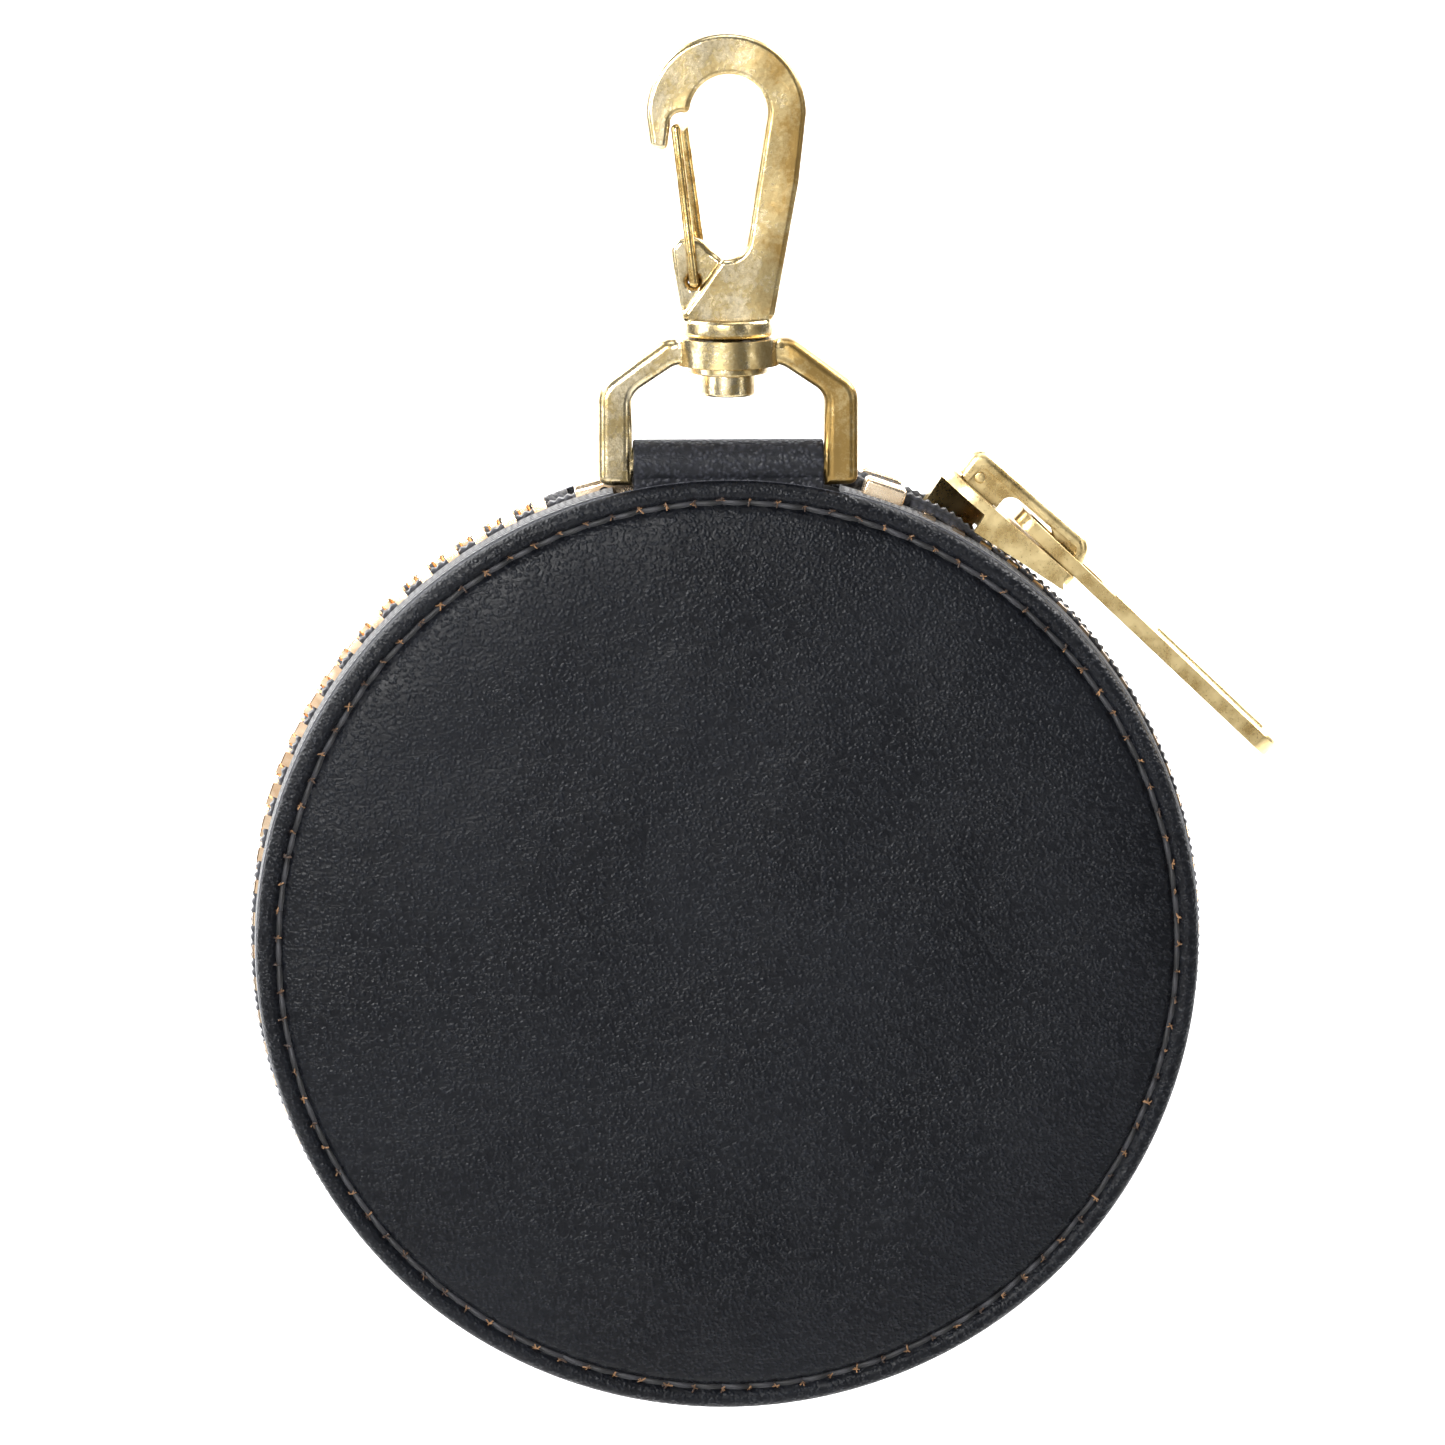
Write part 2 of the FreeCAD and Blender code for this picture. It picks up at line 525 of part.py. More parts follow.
def make_washer():
    piece = body("swivel_washer")
    points = box_points("stem_radius", "washer_radius", "rivet_top", "washer_top")
    turn(piece, "disc", points)
    round_edges(piece, "rim", "washer_thick / 4",
                lambda edge: edge.BoundBox.XMax > value("washer_radius") - 1e-4
                and edge.BoundBox.ZLength < 1e-4 and edge.Length > 1)


def make_gate():
    """Spring wire bent to a loop: two legs, a bar across the nose and two short pivots."""
    side = value("cheek_thick + gate_wire") / 2 + value("gate_gap")
    pivot_x, pivot_z = value("gate_pivot_across"), value("gate_pivot_up")
    top_x, top_z = value("gate_top_across"), value("gate_top_up")
    shift = value("gate_offset")
    inner = value("cheek_thick") / 2 - value("gate_wire")
    route = [Vector(pivot_x, -inner, pivot_z), Vector(pivot_x, -side, pivot_z), Vector(top_x, -side, top_z),
             Vector(top_x + shift, side, top_z), Vector(pivot_x + shift, side, pivot_z + 2 * shift),
             Vector(pivot_x, side, pivot_z), Vector(pivot_x, inner, pivot_z)]
    runs = []
    for index, (start, end) in enumerate(zip(route, route[1:])):
        length = (end - start).Length
        run = doc.addObject("Part::Cylinder", f"gate_run_{index}")
        bind(run, Radius="gate_wire / 2")
        run.Height = length
        run.Placement = Placement(start, Rotation(Vector(0, 0, 1), end - start))
        runs.append(run)
        if index:
            bend = doc.addObject("Part::Sphere", f"gate_bend_{index}")
            bind(bend, Radius="gate_wire / 2")
            bend.Placement = Placement(start, Rotation())
            runs.append(bend)
    wire = doc.addObject("Part::MultiFuse", "gate_wire")
    wire.Shapes = runs
    wire.Label = "gate_wire"
    PARTS.append(wire)


def make_ring():
    """Cast ring with sloping shoulders, a bored hub for the swivel and a round bar for the tab."""
    piece = body("d_ring", Placement(Vector(0, 0, value("bar_z")), Rotation()))
    top, tail = "ring_drop", "-ring_tail"
    shoulder = "ring_drop - shoulder_drop"
    inner_top = "ring_drop - ring_band"
    inner_shoulder = "ring_drop - shoulder_drop - 0.6"
    half = [("ring_inner", tail), ("ring_half", tail), ("ring_half", shoulder), ("ring_top_half", top)]
    inner = [("ring_top_half - 1", inner_top), ("ring_inner", inner_shoulder)]
    mirror = [(f"-({x})", z) for x, z in reversed(half)]
    inner_mirror = [(f"-({x})", z) for x, z in reversed(inner)]
    pad(piece, "XZ_Plane", "frame", half + mirror + inner_mirror + inner, "ring_thick")
    outer_x = value("ring_half") - 0.1
    top_x = value("ring_top_half") - 0.1
    round_edges(piece, "shoulders", "ring_side * 0.8",
                lambda edge: spans(edge, "y") and abs(edge.BoundBox.XMin) > outer_x and edge.BoundBox.ZMin > 0)
    round_edges(piece, "top_corners", "ring_side * 0.6",
                lambda edge: spans(edge, "y") and abs(abs(edge.BoundBox.XMin) - top_x) < 1
                or spans(edge, "y") and abs(edge.BoundBox.XMin) < value("ring_inner") + 0.1
                and edge.BoundBox.ZMin > 3)
    round_edges(piece, "tails", "ring_side * 0.3",
                lambda edge: spans(edge, "y") and abs(edge.BoundBox.XMin) > outer_x and edge.BoundBox.ZMin < 0)
    flat = value("ring_thick") / 2
    round_edges(piece, "section", "ring_band * 0.36",
                lambda edge: abs(abs(edge.BoundBox.YMax) - flat) < 1e-4 and edge.BoundBox.YLength < 1e-4)
    sketch = sketch_on(piece, "YZ_Plane", "bar_circle")
    circle_on(sketch, "0", "0", "ring_bar")
    bar = feature(piece, "Pad", "bar", sketch, Length="2 * ring_inner + ring_side")
    bar.Midplane = True
    turn(piece, "hub", box_points("0", "hub_radius", "ring_drop - hub_tall", "ring_drop"))
    turn(piece, "bore", box_points("0", "stem_radius + swivel_play", "ring_drop - hub_tall - 1", "ring_drop + 1"),
         kind="Groove")


def make_tab():
    """Folded leather tab: a loop round the ring's bar and a tongue sewn behind the front leather."""
    piece = body("tab_loop", Placement(Vector(0, 0, value("bar_z")), Rotation()))
    front = "bar_back - leather_thick - tab_front"
    points = [(f"-({front})", "-bar_up - rim_margin + 0.2"), (f"tab_thick - ({front})", "-bar_up - rim_margin + 0.2"),
              (f"tab_thick - ({front})", "-ring_bar"), (f"-({front})", "-ring_bar")]
    pad(piece, "YZ_Plane", "tongue", points, "tab_wide")
    for name, radius, kind in (("loop", "ring_bar + tab_play + tab_leather", "Pad"),
                               ("bar_hole", "ring_bar + tab_play", "Pocket")):
        sketch = sketch_on(piece, "YZ_Plane", f"{name}_circle")
        circle_on(sketch, "0", "0", radius)
        made = feature(piece, kind, name, sketch, Length="tab_wide")
        made.Midplane = True


def build():
    fill_sheet()
    make_hook()
    make_swivel_stem()
    make_washer()
    make_gate()
    make_ring()
    make_tab()
    for side in ("front", "back"):
        make_panel(side)
        make_disc("stiffener", side, "core_radius - board_gap", "board_inner", "panel_inner")
        make_disc("padding", side, "core_radius", "foam_inner", "board_inner")
        make_disc("lining", side, "core_radius", "lining_inner", "foam_inner")
        make_tape(side, "tape_end" if side == "front" else "back_tape_end")
        make_seam(side)
        make_teeth(side)
        make_top_stop(side)
    make_hinge_strip()
    make_bottom_stop()
    make_slider_body()
    make_slider_cap()
    make_cap_pin()
    make_lock_spring()
    make_puller()
    doc.recompute()


def check_and_write():
    for item in doc.Objects:
        if "Invalid" in item.State or "Error" in item.State:
            raise RuntimeError(f"{item.Name} did not build: {item.State}")
    os.makedirs("parts", exist_ok=True)
    for piece in PARTS:
        if piece.Shape.isNull() or not piece.Shape.isValid():
            raise RuntimeError(f"{piece.Label} has no valid shape")
    for piece in PARTS:
        piece.Shape.exportStep(f"parts/{piece.Label}.step")
        print(f"{piece.Label:20s} volume {piece.Shape.Volume:9.2f}  solids {len(piece.Shape.Solids)}")


build()
check_and_write()
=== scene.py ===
import json
import math

import bmesh
import bpy
from mathutils import Matrix, Vector, noise

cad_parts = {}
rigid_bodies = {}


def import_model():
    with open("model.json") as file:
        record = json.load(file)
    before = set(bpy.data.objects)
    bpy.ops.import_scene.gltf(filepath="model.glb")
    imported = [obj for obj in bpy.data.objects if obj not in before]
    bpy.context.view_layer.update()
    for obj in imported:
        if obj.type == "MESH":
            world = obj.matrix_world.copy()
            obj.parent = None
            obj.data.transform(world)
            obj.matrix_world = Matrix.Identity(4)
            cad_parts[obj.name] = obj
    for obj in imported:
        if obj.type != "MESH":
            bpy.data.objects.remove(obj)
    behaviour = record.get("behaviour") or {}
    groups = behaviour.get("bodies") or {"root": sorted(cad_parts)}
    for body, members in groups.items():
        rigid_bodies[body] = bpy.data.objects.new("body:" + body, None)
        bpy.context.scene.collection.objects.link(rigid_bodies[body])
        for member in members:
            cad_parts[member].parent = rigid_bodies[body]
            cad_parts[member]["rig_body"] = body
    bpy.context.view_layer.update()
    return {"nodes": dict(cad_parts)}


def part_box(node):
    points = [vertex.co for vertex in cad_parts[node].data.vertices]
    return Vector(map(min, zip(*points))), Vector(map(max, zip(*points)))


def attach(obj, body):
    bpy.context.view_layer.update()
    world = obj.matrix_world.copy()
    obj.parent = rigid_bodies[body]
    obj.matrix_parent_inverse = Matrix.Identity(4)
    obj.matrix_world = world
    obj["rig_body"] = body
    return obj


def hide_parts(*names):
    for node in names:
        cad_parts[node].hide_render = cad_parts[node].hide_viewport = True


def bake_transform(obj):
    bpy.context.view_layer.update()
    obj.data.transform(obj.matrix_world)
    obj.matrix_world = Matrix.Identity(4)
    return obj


bl_info = {
    "name": "Round Leather Coin Purse",
    "version": (1, 0, 0),
    "blender": (4, 5, 0),
    "location": "View3D > Sidebar > Purse",
    "description": "Dresses a round zip-round leather purse on a swivel hook around its packed frame",
    "category": "Object",
}

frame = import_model()
NODES = frame["nodes"]
MM = 0.001

# The disc's own sizes, read from the frame: its middle, its radius and its half thickness.
FRONT_LOW, FRONT_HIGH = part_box("front_panel")
BACK_LOW, BACK_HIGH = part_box("back_panel")
CENTRE = Vector(((FRONT_LOW.x + FRONT_HIGH.x) / 2, (FRONT_LOW.y + BACK_HIGH.y) / 2,
                 (FRONT_LOW.z + FRONT_HIGH.z) / 2))
HALF_THICK = (BACK_HIGH.y - FRONT_LOW.y) / 2
PANEL_RADIUS = (FRONT_HIGH.z - FRONT_LOW.z) / 2
LEATHER = FRONT_HIGH.y - FRONT_LOW.y
LINING_LOW, LINING_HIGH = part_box("front_lining")
LINING_HALF = CENTRE.y - LINING_HIGH.y
SIDES = ("front", "back")

# The zip: 79 teeth a side, one every 4 degrees, meshed all the way but for the few at the slider.
TEETH = 79
TOOTH_STEP = math.radians(4)
FIRST_TOOTH = {"front": math.radians(65), "back": math.radians(67)}
SPLAY_START, SPLAY_FULL = math.radians(56), math.radians(62)


# ---- colours and node trees -----------------------------------------------------------------

def paint(code):
    """Linear red, green, blue and alpha of an sRGB hex colour."""
    parts = [int(code[i:i + 2], 16) / 255 for i in (1, 3, 5)]
    return [c / 12.92 if c <= 0.04045 else ((c + 0.055) / 1.055) ** 2.4 for c in parts] + [1.0]


def add(tree, kind, links=None, stops=(), **settings):
    """Add one node, set its settings and any colour stops, and link or set its inputs."""
    made = tree.nodes.new(kind)
    for name, setting in settings.items():
        setattr(made, name, setting)
    if stops:
        ends = made.color_ramp.elements
        while len(ends) < len(stops):
            ends.new(0.5)
        for element, (position, colour) in zip(ends, stops):
            element.position = position
            element.color = colour
    for socket, source in (links or {}).items():
        if isinstance(source, bpy.types.NodeSocket):
            tree.links.new(source, made.inputs[socket])
        else:
            made.inputs[socket].default_value = source
    return made


def start_material(name):
    """A material with its shader and its Object coordinates in metres."""
    material = bpy.data.materials.new(name)
    material.use_nodes = True
    tree = material.node_tree
    shader = tree.nodes["Principled BSDF"]
    place = tree.nodes.new("ShaderNodeTexCoord").outputs["Object"]
    return material, tree, shader, place


def per_mm(size):
    """A texture scale whose pattern repeats about every so many millimetres."""
    return 1 / (size * MM)


def grey(level):
    return (level, level, level, 1)


def set_shader(tree, shader, **inputs):
    """Set or link the shader's sockets; underscores in a name stand for spaces."""
    for name, source in inputs.items():
        socket = shader.inputs[name.replace("_", " ")]
        if isinstance(source, bpy.types.NodeSocket):
            tree.links.new(source, socket)
        else:
            socket.default_value = source


def pebbled_calf(name, dark, light, grain=0.45, roughness=(0.32, 0.48)):
    """Drum-dyed calf leather with a fine pebble grain: small rounded cells parted by wandering
    creases, a waxed satin face that sparkles in the light, and slow slanting wrinkles."""
    material, tree, shader, place = start_material(name)
    drift = add(tree, "ShaderNodeTexNoise", {"Vector": place, "Scale": per_mm(1.1), "Detail": 3.0})
    shifted = add(tree, "ShaderNodeVectorMath", {0: drift.outputs["Color"], 1: (0.5 * MM,) * 3}, operation="MULTIPLY")
    bent = add(tree, "ShaderNodeVectorMath", {0: place, 1: shifted.outputs[0]}, operation="ADD").outputs[0]
    cells = add(tree, "ShaderNodeTexVoronoi", {"Vector": bent, "Scale": per_mm(grain), "Smoothness": 0.5},
                feature="SMOOTH_F1").outputs["Distance"]
    pebble = add(tree, "ShaderNodeValToRGB", {"Fac": cells}, [(0.1, grey(1)), (0.62, grey(0))])
    pebble.color_ramp.interpolation = "EASE"
    patch = add(tree, "ShaderNodeTexNoise", {"Vector": bent, "Scale": per_mm(grain * 1.4), "Detail": 4.0,
                                             "Roughness": 0.65}).outputs["Fac"]
    relief = add(tree, "ShaderNodeMath", {0: pebble.outputs["Color"], 1: patch}, operation="ADD").outputs[0]
    slant = add(tree, "ShaderNodeMapping", {"Vector": bent, "Rotation": (0, math.radians(24), 0),
                                            "Scale": (0.16, 1.0, 1.0)}).outputs[0]
    wander = add(tree, "ShaderNodeTexNoise", {"Vector": slant, "Scale": per_mm(3.4), "Detail": 4.0,
                                              "Roughness": 0.62}).outputs["Fac"]
    offset = add(tree, "ShaderNodeMath", {0: wander, 1: 0.5}, operation="SUBTRACT").outputs[0]
    ridge = add(tree, "ShaderNodeMath", {0: offset}, operation="ABSOLUTE").outputs[0]
    crease = add(tree, "ShaderNodeValToRGB", {"Fac": ridge}, [(0.0, grey(0)), (0.02, grey(1))]).outputs["Color"]
    swell = add(tree, "ShaderNodeTexNoise", {"Vector": place, "Scale": per_mm(14), "Detail": 2.0}).outputs["Fac"]
    cloud = add(tree, "ShaderNodeTexNoise", {"Vector": place, "Scale": per_mm(19), "Detail": 3.0}).outputs["Fac"]
    cloud_tone = add(tree, "ShaderNodeMath", {0: cloud, 1: 0.4}, operation="MULTIPLY").outputs[0]
    tone = add(tree, "ShaderNodeMath", {0: relief, 1: 0.35, 2: cloud_tone}, operation="MULTIPLY_ADD").outputs[0]
    colour = add(tree, "ShaderNodeValToRGB", {"Fac": tone}, [(0.3, dark), (0.8, light)]).outputs["Color"]
    wear = add(tree, "ShaderNodeMath", {0: cloud, 1: 0.8, 2: patch}, operation="MULTIPLY_ADD").outputs[0]
    gloss = add(tree, "ShaderNodeMapRange", {"Value": wear, "From Min": 0.6, "From Max": 1.15,
                                             "To Min": roughness[0], "To Max": roughness[1]}).outputs[0]
    normal = add(tree, "ShaderNodeBump", {"Height": swell, "Distance": 1.6 * MM, "Strength": 0.5}).outputs[0]
    normal = add(tree, "ShaderNodeBump", {"Height": crease, "Distance": 0.05 * MM, "Strength": 0.4,
                                          "Normal": normal}).outputs[0]
    normal = add(tree, "ShaderNodeBump", {"Height": relief, "Distance": 0.085 * MM, "Strength": 0.8,
                                          "Normal": normal}).outputs[0]
    set_shader(tree, shader, Base_Color=colour, Roughness=gloss, Normal=normal, IOR=1.5, Specular_IOR_Level=0.165)
    return material


def cast_brass(name, bright, dull, shade, mottle=1.6, roughness=(0.16, 0.36), painted_right_shade=0.0):
    """Cast and tumbled brass: soft satin face, mottled with brown oxide in its low spots and
    covered in fine pits left by the casting. The last argument is a painted shade: how much darker and duller the
    colour turns towards the right side, from 1 mm to 8 mm right of the middle."""
    material, tree, shader, place = start_material(name)
    patch = add(tree, "ShaderNodeTexNoise", {"Vector": place, "Scale": per_mm(mottle * 2.2), "Detail": 6.0,
                                             "Roughness": 0.62, "Distortion": 0.4}).outputs["Fac"]
    speck = add(tree, "ShaderNodeTexNoise", {"Vector": place, "Scale": per_mm(0.38), "Detail": 5.0,
                                             "Roughness": 0.7}).outputs["Fac"]
    pits = add(tree, "ShaderNodeTexVoronoi", {"Vector": place, "Scale": per_mm(0.55)}, feature="F1").outputs["Distance"]
    speck_part = add(tree, "ShaderNodeMath", {0: speck, 1: 0.38}, operation="MULTIPLY").outputs[0]
    mixed = add(tree, "ShaderNodeMath", {0: patch, 1: 0.62, 2: speck_part}, operation="MULTIPLY_ADD").outputs[0]
    # Painted shade: colour and shine fall off towards the right (object X from 1 mm to 8 mm), standing in for the
    # dimmer light on that side.
    side = add(tree, "ShaderNodeSeparateXYZ", {"Vector": place}).outputs["X"]
    painted_shade = add(tree, "ShaderNodeMapRange", {"Value": side, "From Min": 1 * MM, "From Max": 8 * MM,
                                            "To Min": 0.0, "To Max": painted_right_shade}).outputs[0]
    blend = add(tree, "ShaderNodeMath", {0: mixed, 1: painted_shade}, operation="SUBTRACT").outputs[0]
    colour = add(tree, "ShaderNodeValToRGB", {"Fac": blend},
                 [(0.3, shade), (0.46, dull), (0.6, bright)]).outputs["Color"]
    gloss = add(tree, "ShaderNodeMapRange", {"Value": blend, "From Min": 0.32, "From Max": 0.68,
                                             "To Min": roughness[1], "To Max": roughness[0]}).outputs[0]
    scratch_place = add(tree, "ShaderNodeMapping", {"Vector": place, "Rotation": (0.3, 0.5, 0.7),
                                                    "Scale": (0.12, 1, 1)}).outputs[0]
    scratch = add(tree, "ShaderNodeTexNoise", {"Vector": scratch_place, "Scale": per_mm(0.3),
                                               "Detail": 3.0}).outputs["Fac"]
    dents = add(tree, "ShaderNodeTexNoise", {"Vector": place, "Scale": per_mm(9), "Detail": 1.0}).outputs["Fac"]
    normal = add(tree, "ShaderNodeBump", {"Height": dents, "Distance": 0.9 * MM, "Strength": 0.8}).outputs[0]
    for height, depth, strength in ((pits, 0.03, 0.35), (speck, 0.03, 0.4), (scratch, 0.02, 0.25)):
        normal = add(tree, "ShaderNodeBump", {"Height": height, "Distance": depth * MM, "Strength": strength,
                                              "Normal": normal}).outputs[0]
    set_shader(tree, shader, Base_Color=colour, Roughness=gloss, Normal=normal, Metallic=1.0)
    return material


def plated_gold(name, bright, dull, roughness=(0.18, 0.34)):
    """Die-cast zinc with a pale gold plate, lightly brushed: even colour, faint fine grain and
    small wear marks that turn the shine softer."""
    material, tree, shader, place = start_material(name)
    fine = add(tree, "ShaderNodeTexNoise", {"Vector": place, "Scale": per_mm(0.22), "Detail": 4.0}).outputs["Fac"]
    broad = add(tree, "ShaderNodeTexNoise", {"Vector": place, "Scale": per_mm(2.6), "Detail": 4.0}).outputs["Fac"]
    colour = add(tree, "ShaderNodeValToRGB", {"Fac": broad}, [(0.34, dull), (0.6, bright)]).outputs["Color"]
    wear = add(tree, "ShaderNodeMath", {0: fine, 1: broad}, operation="MULTIPLY").outputs[0]
    gloss = add(tree, "ShaderNodeMapRange", {"Value": wear, "From Min": 0.14, "From Max": 0.4,
                                             "To Min": roughness[0], "To Max": roughness[1]}).outputs[0]
    normal = add(tree, "ShaderNodeBump", {"Height": fine, "Distance": 0.005 * MM, "Strength": 0.4}).outputs[0]
    set_shader(tree, shader, Base_Color=colour, Roughness=gloss, Normal=normal, Metallic=1.0)
    return material


def woven_tape(name, dark, light, rib=0.75, row=0.42):
    """Woven polyester zip tape: short slanting ribs in rows along the tape, matt and a little
    fuzzy. Reads the piece's UV map, which holds millimetres along and across the tape."""
    material, tree, shader, _ = start_material(name)
    spot = tree.nodes.new("ShaderNodeUVMap").outputs["UV"]
    split = add(tree, "ShaderNodeSeparateXYZ", {0: spot})
    rows = add(tree, "ShaderNodeMath", {0: split.outputs["Y"], 1: row}, operation="DIVIDE").outputs[0]
    band = add(tree, "ShaderNodeMath", {0: rows, 1: 1.0}, operation="PINGPONG").outputs[0]
    repeats = add(tree, "ShaderNodeMath", {0: split.outputs["X"], 1: rib}, operation="DIVIDE").outputs[0]
    slant = add(tree, "ShaderNodeMath", {0: band, 1: 0.5, 2: repeats}, operation="MULTIPLY_ADD").outputs[0]
    ribs = add(tree, "ShaderNodeMath", {0: slant, 1: 0.5}, operation="PINGPONG").outputs[0]
    high_rib = add(tree, "ShaderNodeMath", {0: ribs, 1: 0.35}, operation="ADD").outputs[0]
    high_band = add(tree, "ShaderNodeMath", {0: band, 1: 0.3}, operation="ADD").outputs[0]
    weave = add(tree, "ShaderNodeMath", {0: high_rib, 1: high_band}, operation="MULTIPLY").outputs[0]
    fuzz = add(tree, "ShaderNodeTexNoise", {"Vector": spot, "Scale": 5.0, "Detail": 4.0}).outputs["Fac"]
    fuzz_tone = add(tree, "ShaderNodeMath", {0: fuzz, 1: 0.35}, operation="MULTIPLY").outputs[0]
    tone = add(tree, "ShaderNodeMath", {0: weave, 1: 0.8, 2: fuzz_tone}, operation="MULTIPLY_ADD").outputs[0]
    colour = add(tree, "ShaderNodeValToRGB", {"Fac": tone}, [(0.2, dark), (0.85, light)]).outputs["Color"]
    normal = add(tree, "ShaderNodeBump", {"Height": weave, "Distance": 0.22 * MM, "Strength": 0.9}).outputs[0]
    normal = add(tree, "ShaderNodeBump", {"Height": fuzz, "Distance": 0.06 * MM, "Strength": 0.5,
                                          "Normal": normal}).outputs[0]
    set_shader(tree, shader, Base_Color=colour, Roughness=0.82, Normal=normal, IOR=1.5,
               Specular_IOR_Level=0.35, Sheen_Weight=0.35, Sheen_Roughness=0.5)
    return material


def spun_thread(name, dark, light, lay=4.39823):
    """Waxed spun thread: plies that wind round it show as slanting bands. The bands are lay
    millimetres apart, drawn much longer than real plies."""
    material, tree, shader, place = start_material(name)
    plies = add(tree, "ShaderNodeTexWave", {"Vector": place, "Scale": per_mm(lay) * math.pi / 5, "Distortion": 1.5,
                                            "Detail": 2.0}, bands_direction="DIAGONAL").outputs["Fac"]
    fuzz = add(tree, "ShaderNodeTexNoise", {"Vector": place, "Scale": per_mm(0.2)}).outputs["Fac"]
    tone = add(tree, "ShaderNodeMath", {0: plies, 1: fuzz}, operation="MULTIPLY").outputs[0]
    colour = add(tree, "ShaderNodeValToRGB", {"Fac": tone}, [(0.05, dark), (0.6, light)]).outputs["Color"]
    normal = add(tree, "ShaderNodeBump", {"Height": plies, "Distance": 0.05 * MM, "Strength": 0.7}).outputs[0]
    set_shader(tree, shader, Base_Color=colour, Roughness=0.6, Normal=normal, IOR=1.5, Sheen_Weight=0.2)
    return material


def twill_lining(name, dark, light, rib=3.45575):
    """Cotton twill lining: diagonal ribs, matt with a soft sheen. The ribs are rib millimetres
    apart, drawn coarser than real twill so that they show."""
    material, tree, shader, place = start_material(name)
    turned = add(tree, "ShaderNodeMapping", {"Vector": place, "Rotation": (0, math.radians(40), 0)}).outputs[0]
    ribs = add(tree, "ShaderNodeTexWave", {"Vector": turned, "Scale": per_mm(rib) * math.pi / 10, "Distortion": 0.6,
                                           "Detail": 1.0}, bands_direction="X").outputs["Fac"]
    fuzz = add(tree, "ShaderNodeTexNoise", {"Vector": place, "Scale": per_mm(0.7), "Detail": 4.0}).outputs["Fac"]
    fuzz_tone = add(tree, "ShaderNodeMath", {0: fuzz, 1: 0.4}, operation="MULTIPLY").outputs[0]
    tone = add(tree, "ShaderNodeMath", {0: ribs, 1: 0.6, 2: fuzz_tone}, operation="MULTIPLY_ADD").outputs[0]
    colour = add(tree, "ShaderNodeValToRGB", {"Fac": tone}, [(0.2, dark), (0.8, light)]).outputs["Color"]
    normal = add(tree, "ShaderNodeBump", {"Height": ribs, "Distance": 0.12 * MM, "Strength": 0.8}).outputs[0]
    normal = add(tree, "ShaderNodeBump", {"Height": fuzz, "Distance": 0.05 * MM, "Strength": 0.4,
                                          "Normal": normal}).outputs[0]
    set_shader(tree, shader, Base_Color=colour, Roughness=0.85, Normal=normal, IOR=1.5, Sheen_Weight=0.3)
    return material


def pressed_board(name, dark, light):
    """Bonded leather board and felt: short matted fibres, dry and matt."""
    material, tree, shader, place = start_material(name)
    fibre = add(tree, "ShaderNodeTexNoise", {"Vector": place, "Scale": per_mm(0.9), "Detail": 7.0,
                                             "Roughness": 0.7, "Distortion": 1.2}).outputs["Fac"]
    colour = add(tree, "ShaderNodeValToRGB", {"Fac": fibre}, [(0.3, dark), (0.7, light)]).outputs["Color"]
    normal = add(tree, "ShaderNodeBump", {"Height": fibre, "Distance": 0.15 * MM, "Strength": 0.7}).outputs[0]
    set_shader(tree, shader, Base_Color=colour, Roughness=0.92, Normal=normal, IOR=1.45)
    return material


def studio_paper(name, shade):
    """Seamless white studio paper: matt, with the faintest tooth."""
    material, tree, shader, place = start_material(name)
    tooth = add(tree, "ShaderNodeTexNoise", {"Vector": place, "Scale": per_mm(1.2), "Detail": 3.0}).outputs["Fac"]
    colour = add(tree, "ShaderNodeValToRGB", {"Fac": tooth}, [(0.0, shade), (1.0, grey(1))]).outputs["Color"]
    normal = add(tree, "ShaderNodeBump", {"Height": tooth, "Distance": 0.02 * MM, "Strength": 0.2}).outputs[0]
    set_shader(tree, shader, Base_Color=colour, Roughness=0.9, Normal=normal, IOR=1.45)
    return material


# ---- mesh helpers ---------------------------------------------------------------------------

def link_piece(name, mesh, material, body):
    """Make a piece from a mesh with its material, and ride it on its body when one is given."""
    mesh.materials.clear()
    mesh.materials.append(material)
    mesh.shade_smooth()
    piece = bpy.data.objects.new(name, mesh)
    bpy.context.scene.collection.objects.link(piece)
    if body:
        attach(piece, body)
    return piece


def grid_mesh(name, rows, closed_rows=False, closed_columns=False):
    """A mesh of quads over rows of points, joined up in either direction where asked."""
    mesh = bpy.data.meshes.new(name)
    wide = len(rows[0])
    points = [point for row in rows for point in row]
    faces = []
    for i in range(len(rows) if closed_rows else len(rows) - 1):
        for j in range(wide if closed_columns else wide - 1):
            first, second = i * wide, (i + 1) % len(rows) * wide
            faces.append((first + j, first + (j + 1) % wide, second + (j + 1) % wide, second + j))
    mesh.from_pydata(points, [], faces)
    return mesh


def finish_mesh(mesh, weld=0.00001):
    """Merge doubles, cap any open rim and turn every face outwards."""
    work = bmesh.new()
    work.from_mesh(mesh)
    bmesh.ops.remove_doubles(work, verts=work.verts, dist=weld)
    rims = [edge for edge in work.edges if edge.is_boundary]
    if rims:
        bmesh.ops.holes_fill(work, edges=rims, sides=0)
    bmesh.ops.recalc_face_normals(work, faces=work.faces)
    work.to_mesh(mesh)
    work.free()
    return mesh


def disc_point(side, radius, angle, height):
    """A point of a disc face: height is measured from the purse's middle towards that face."""
    forward = -1 if side == "front" else 1
    return (CENTRE.x + radius * math.cos(angle), CENTRE.y + forward * height, CENTRE.z + radius * math.sin(angle))


def smooth_step(share):
    """A smooth step from 0 to 1."""
    share = min(max(share, 0), 1)
    return share * share * (3 - 2 * share)


def add_modifier(piece, kind, name, **settings):
    made = piece.modifiers.new(name, kind)
    for key, setting in settings.items():
        setattr(made, key, setting)
    return made


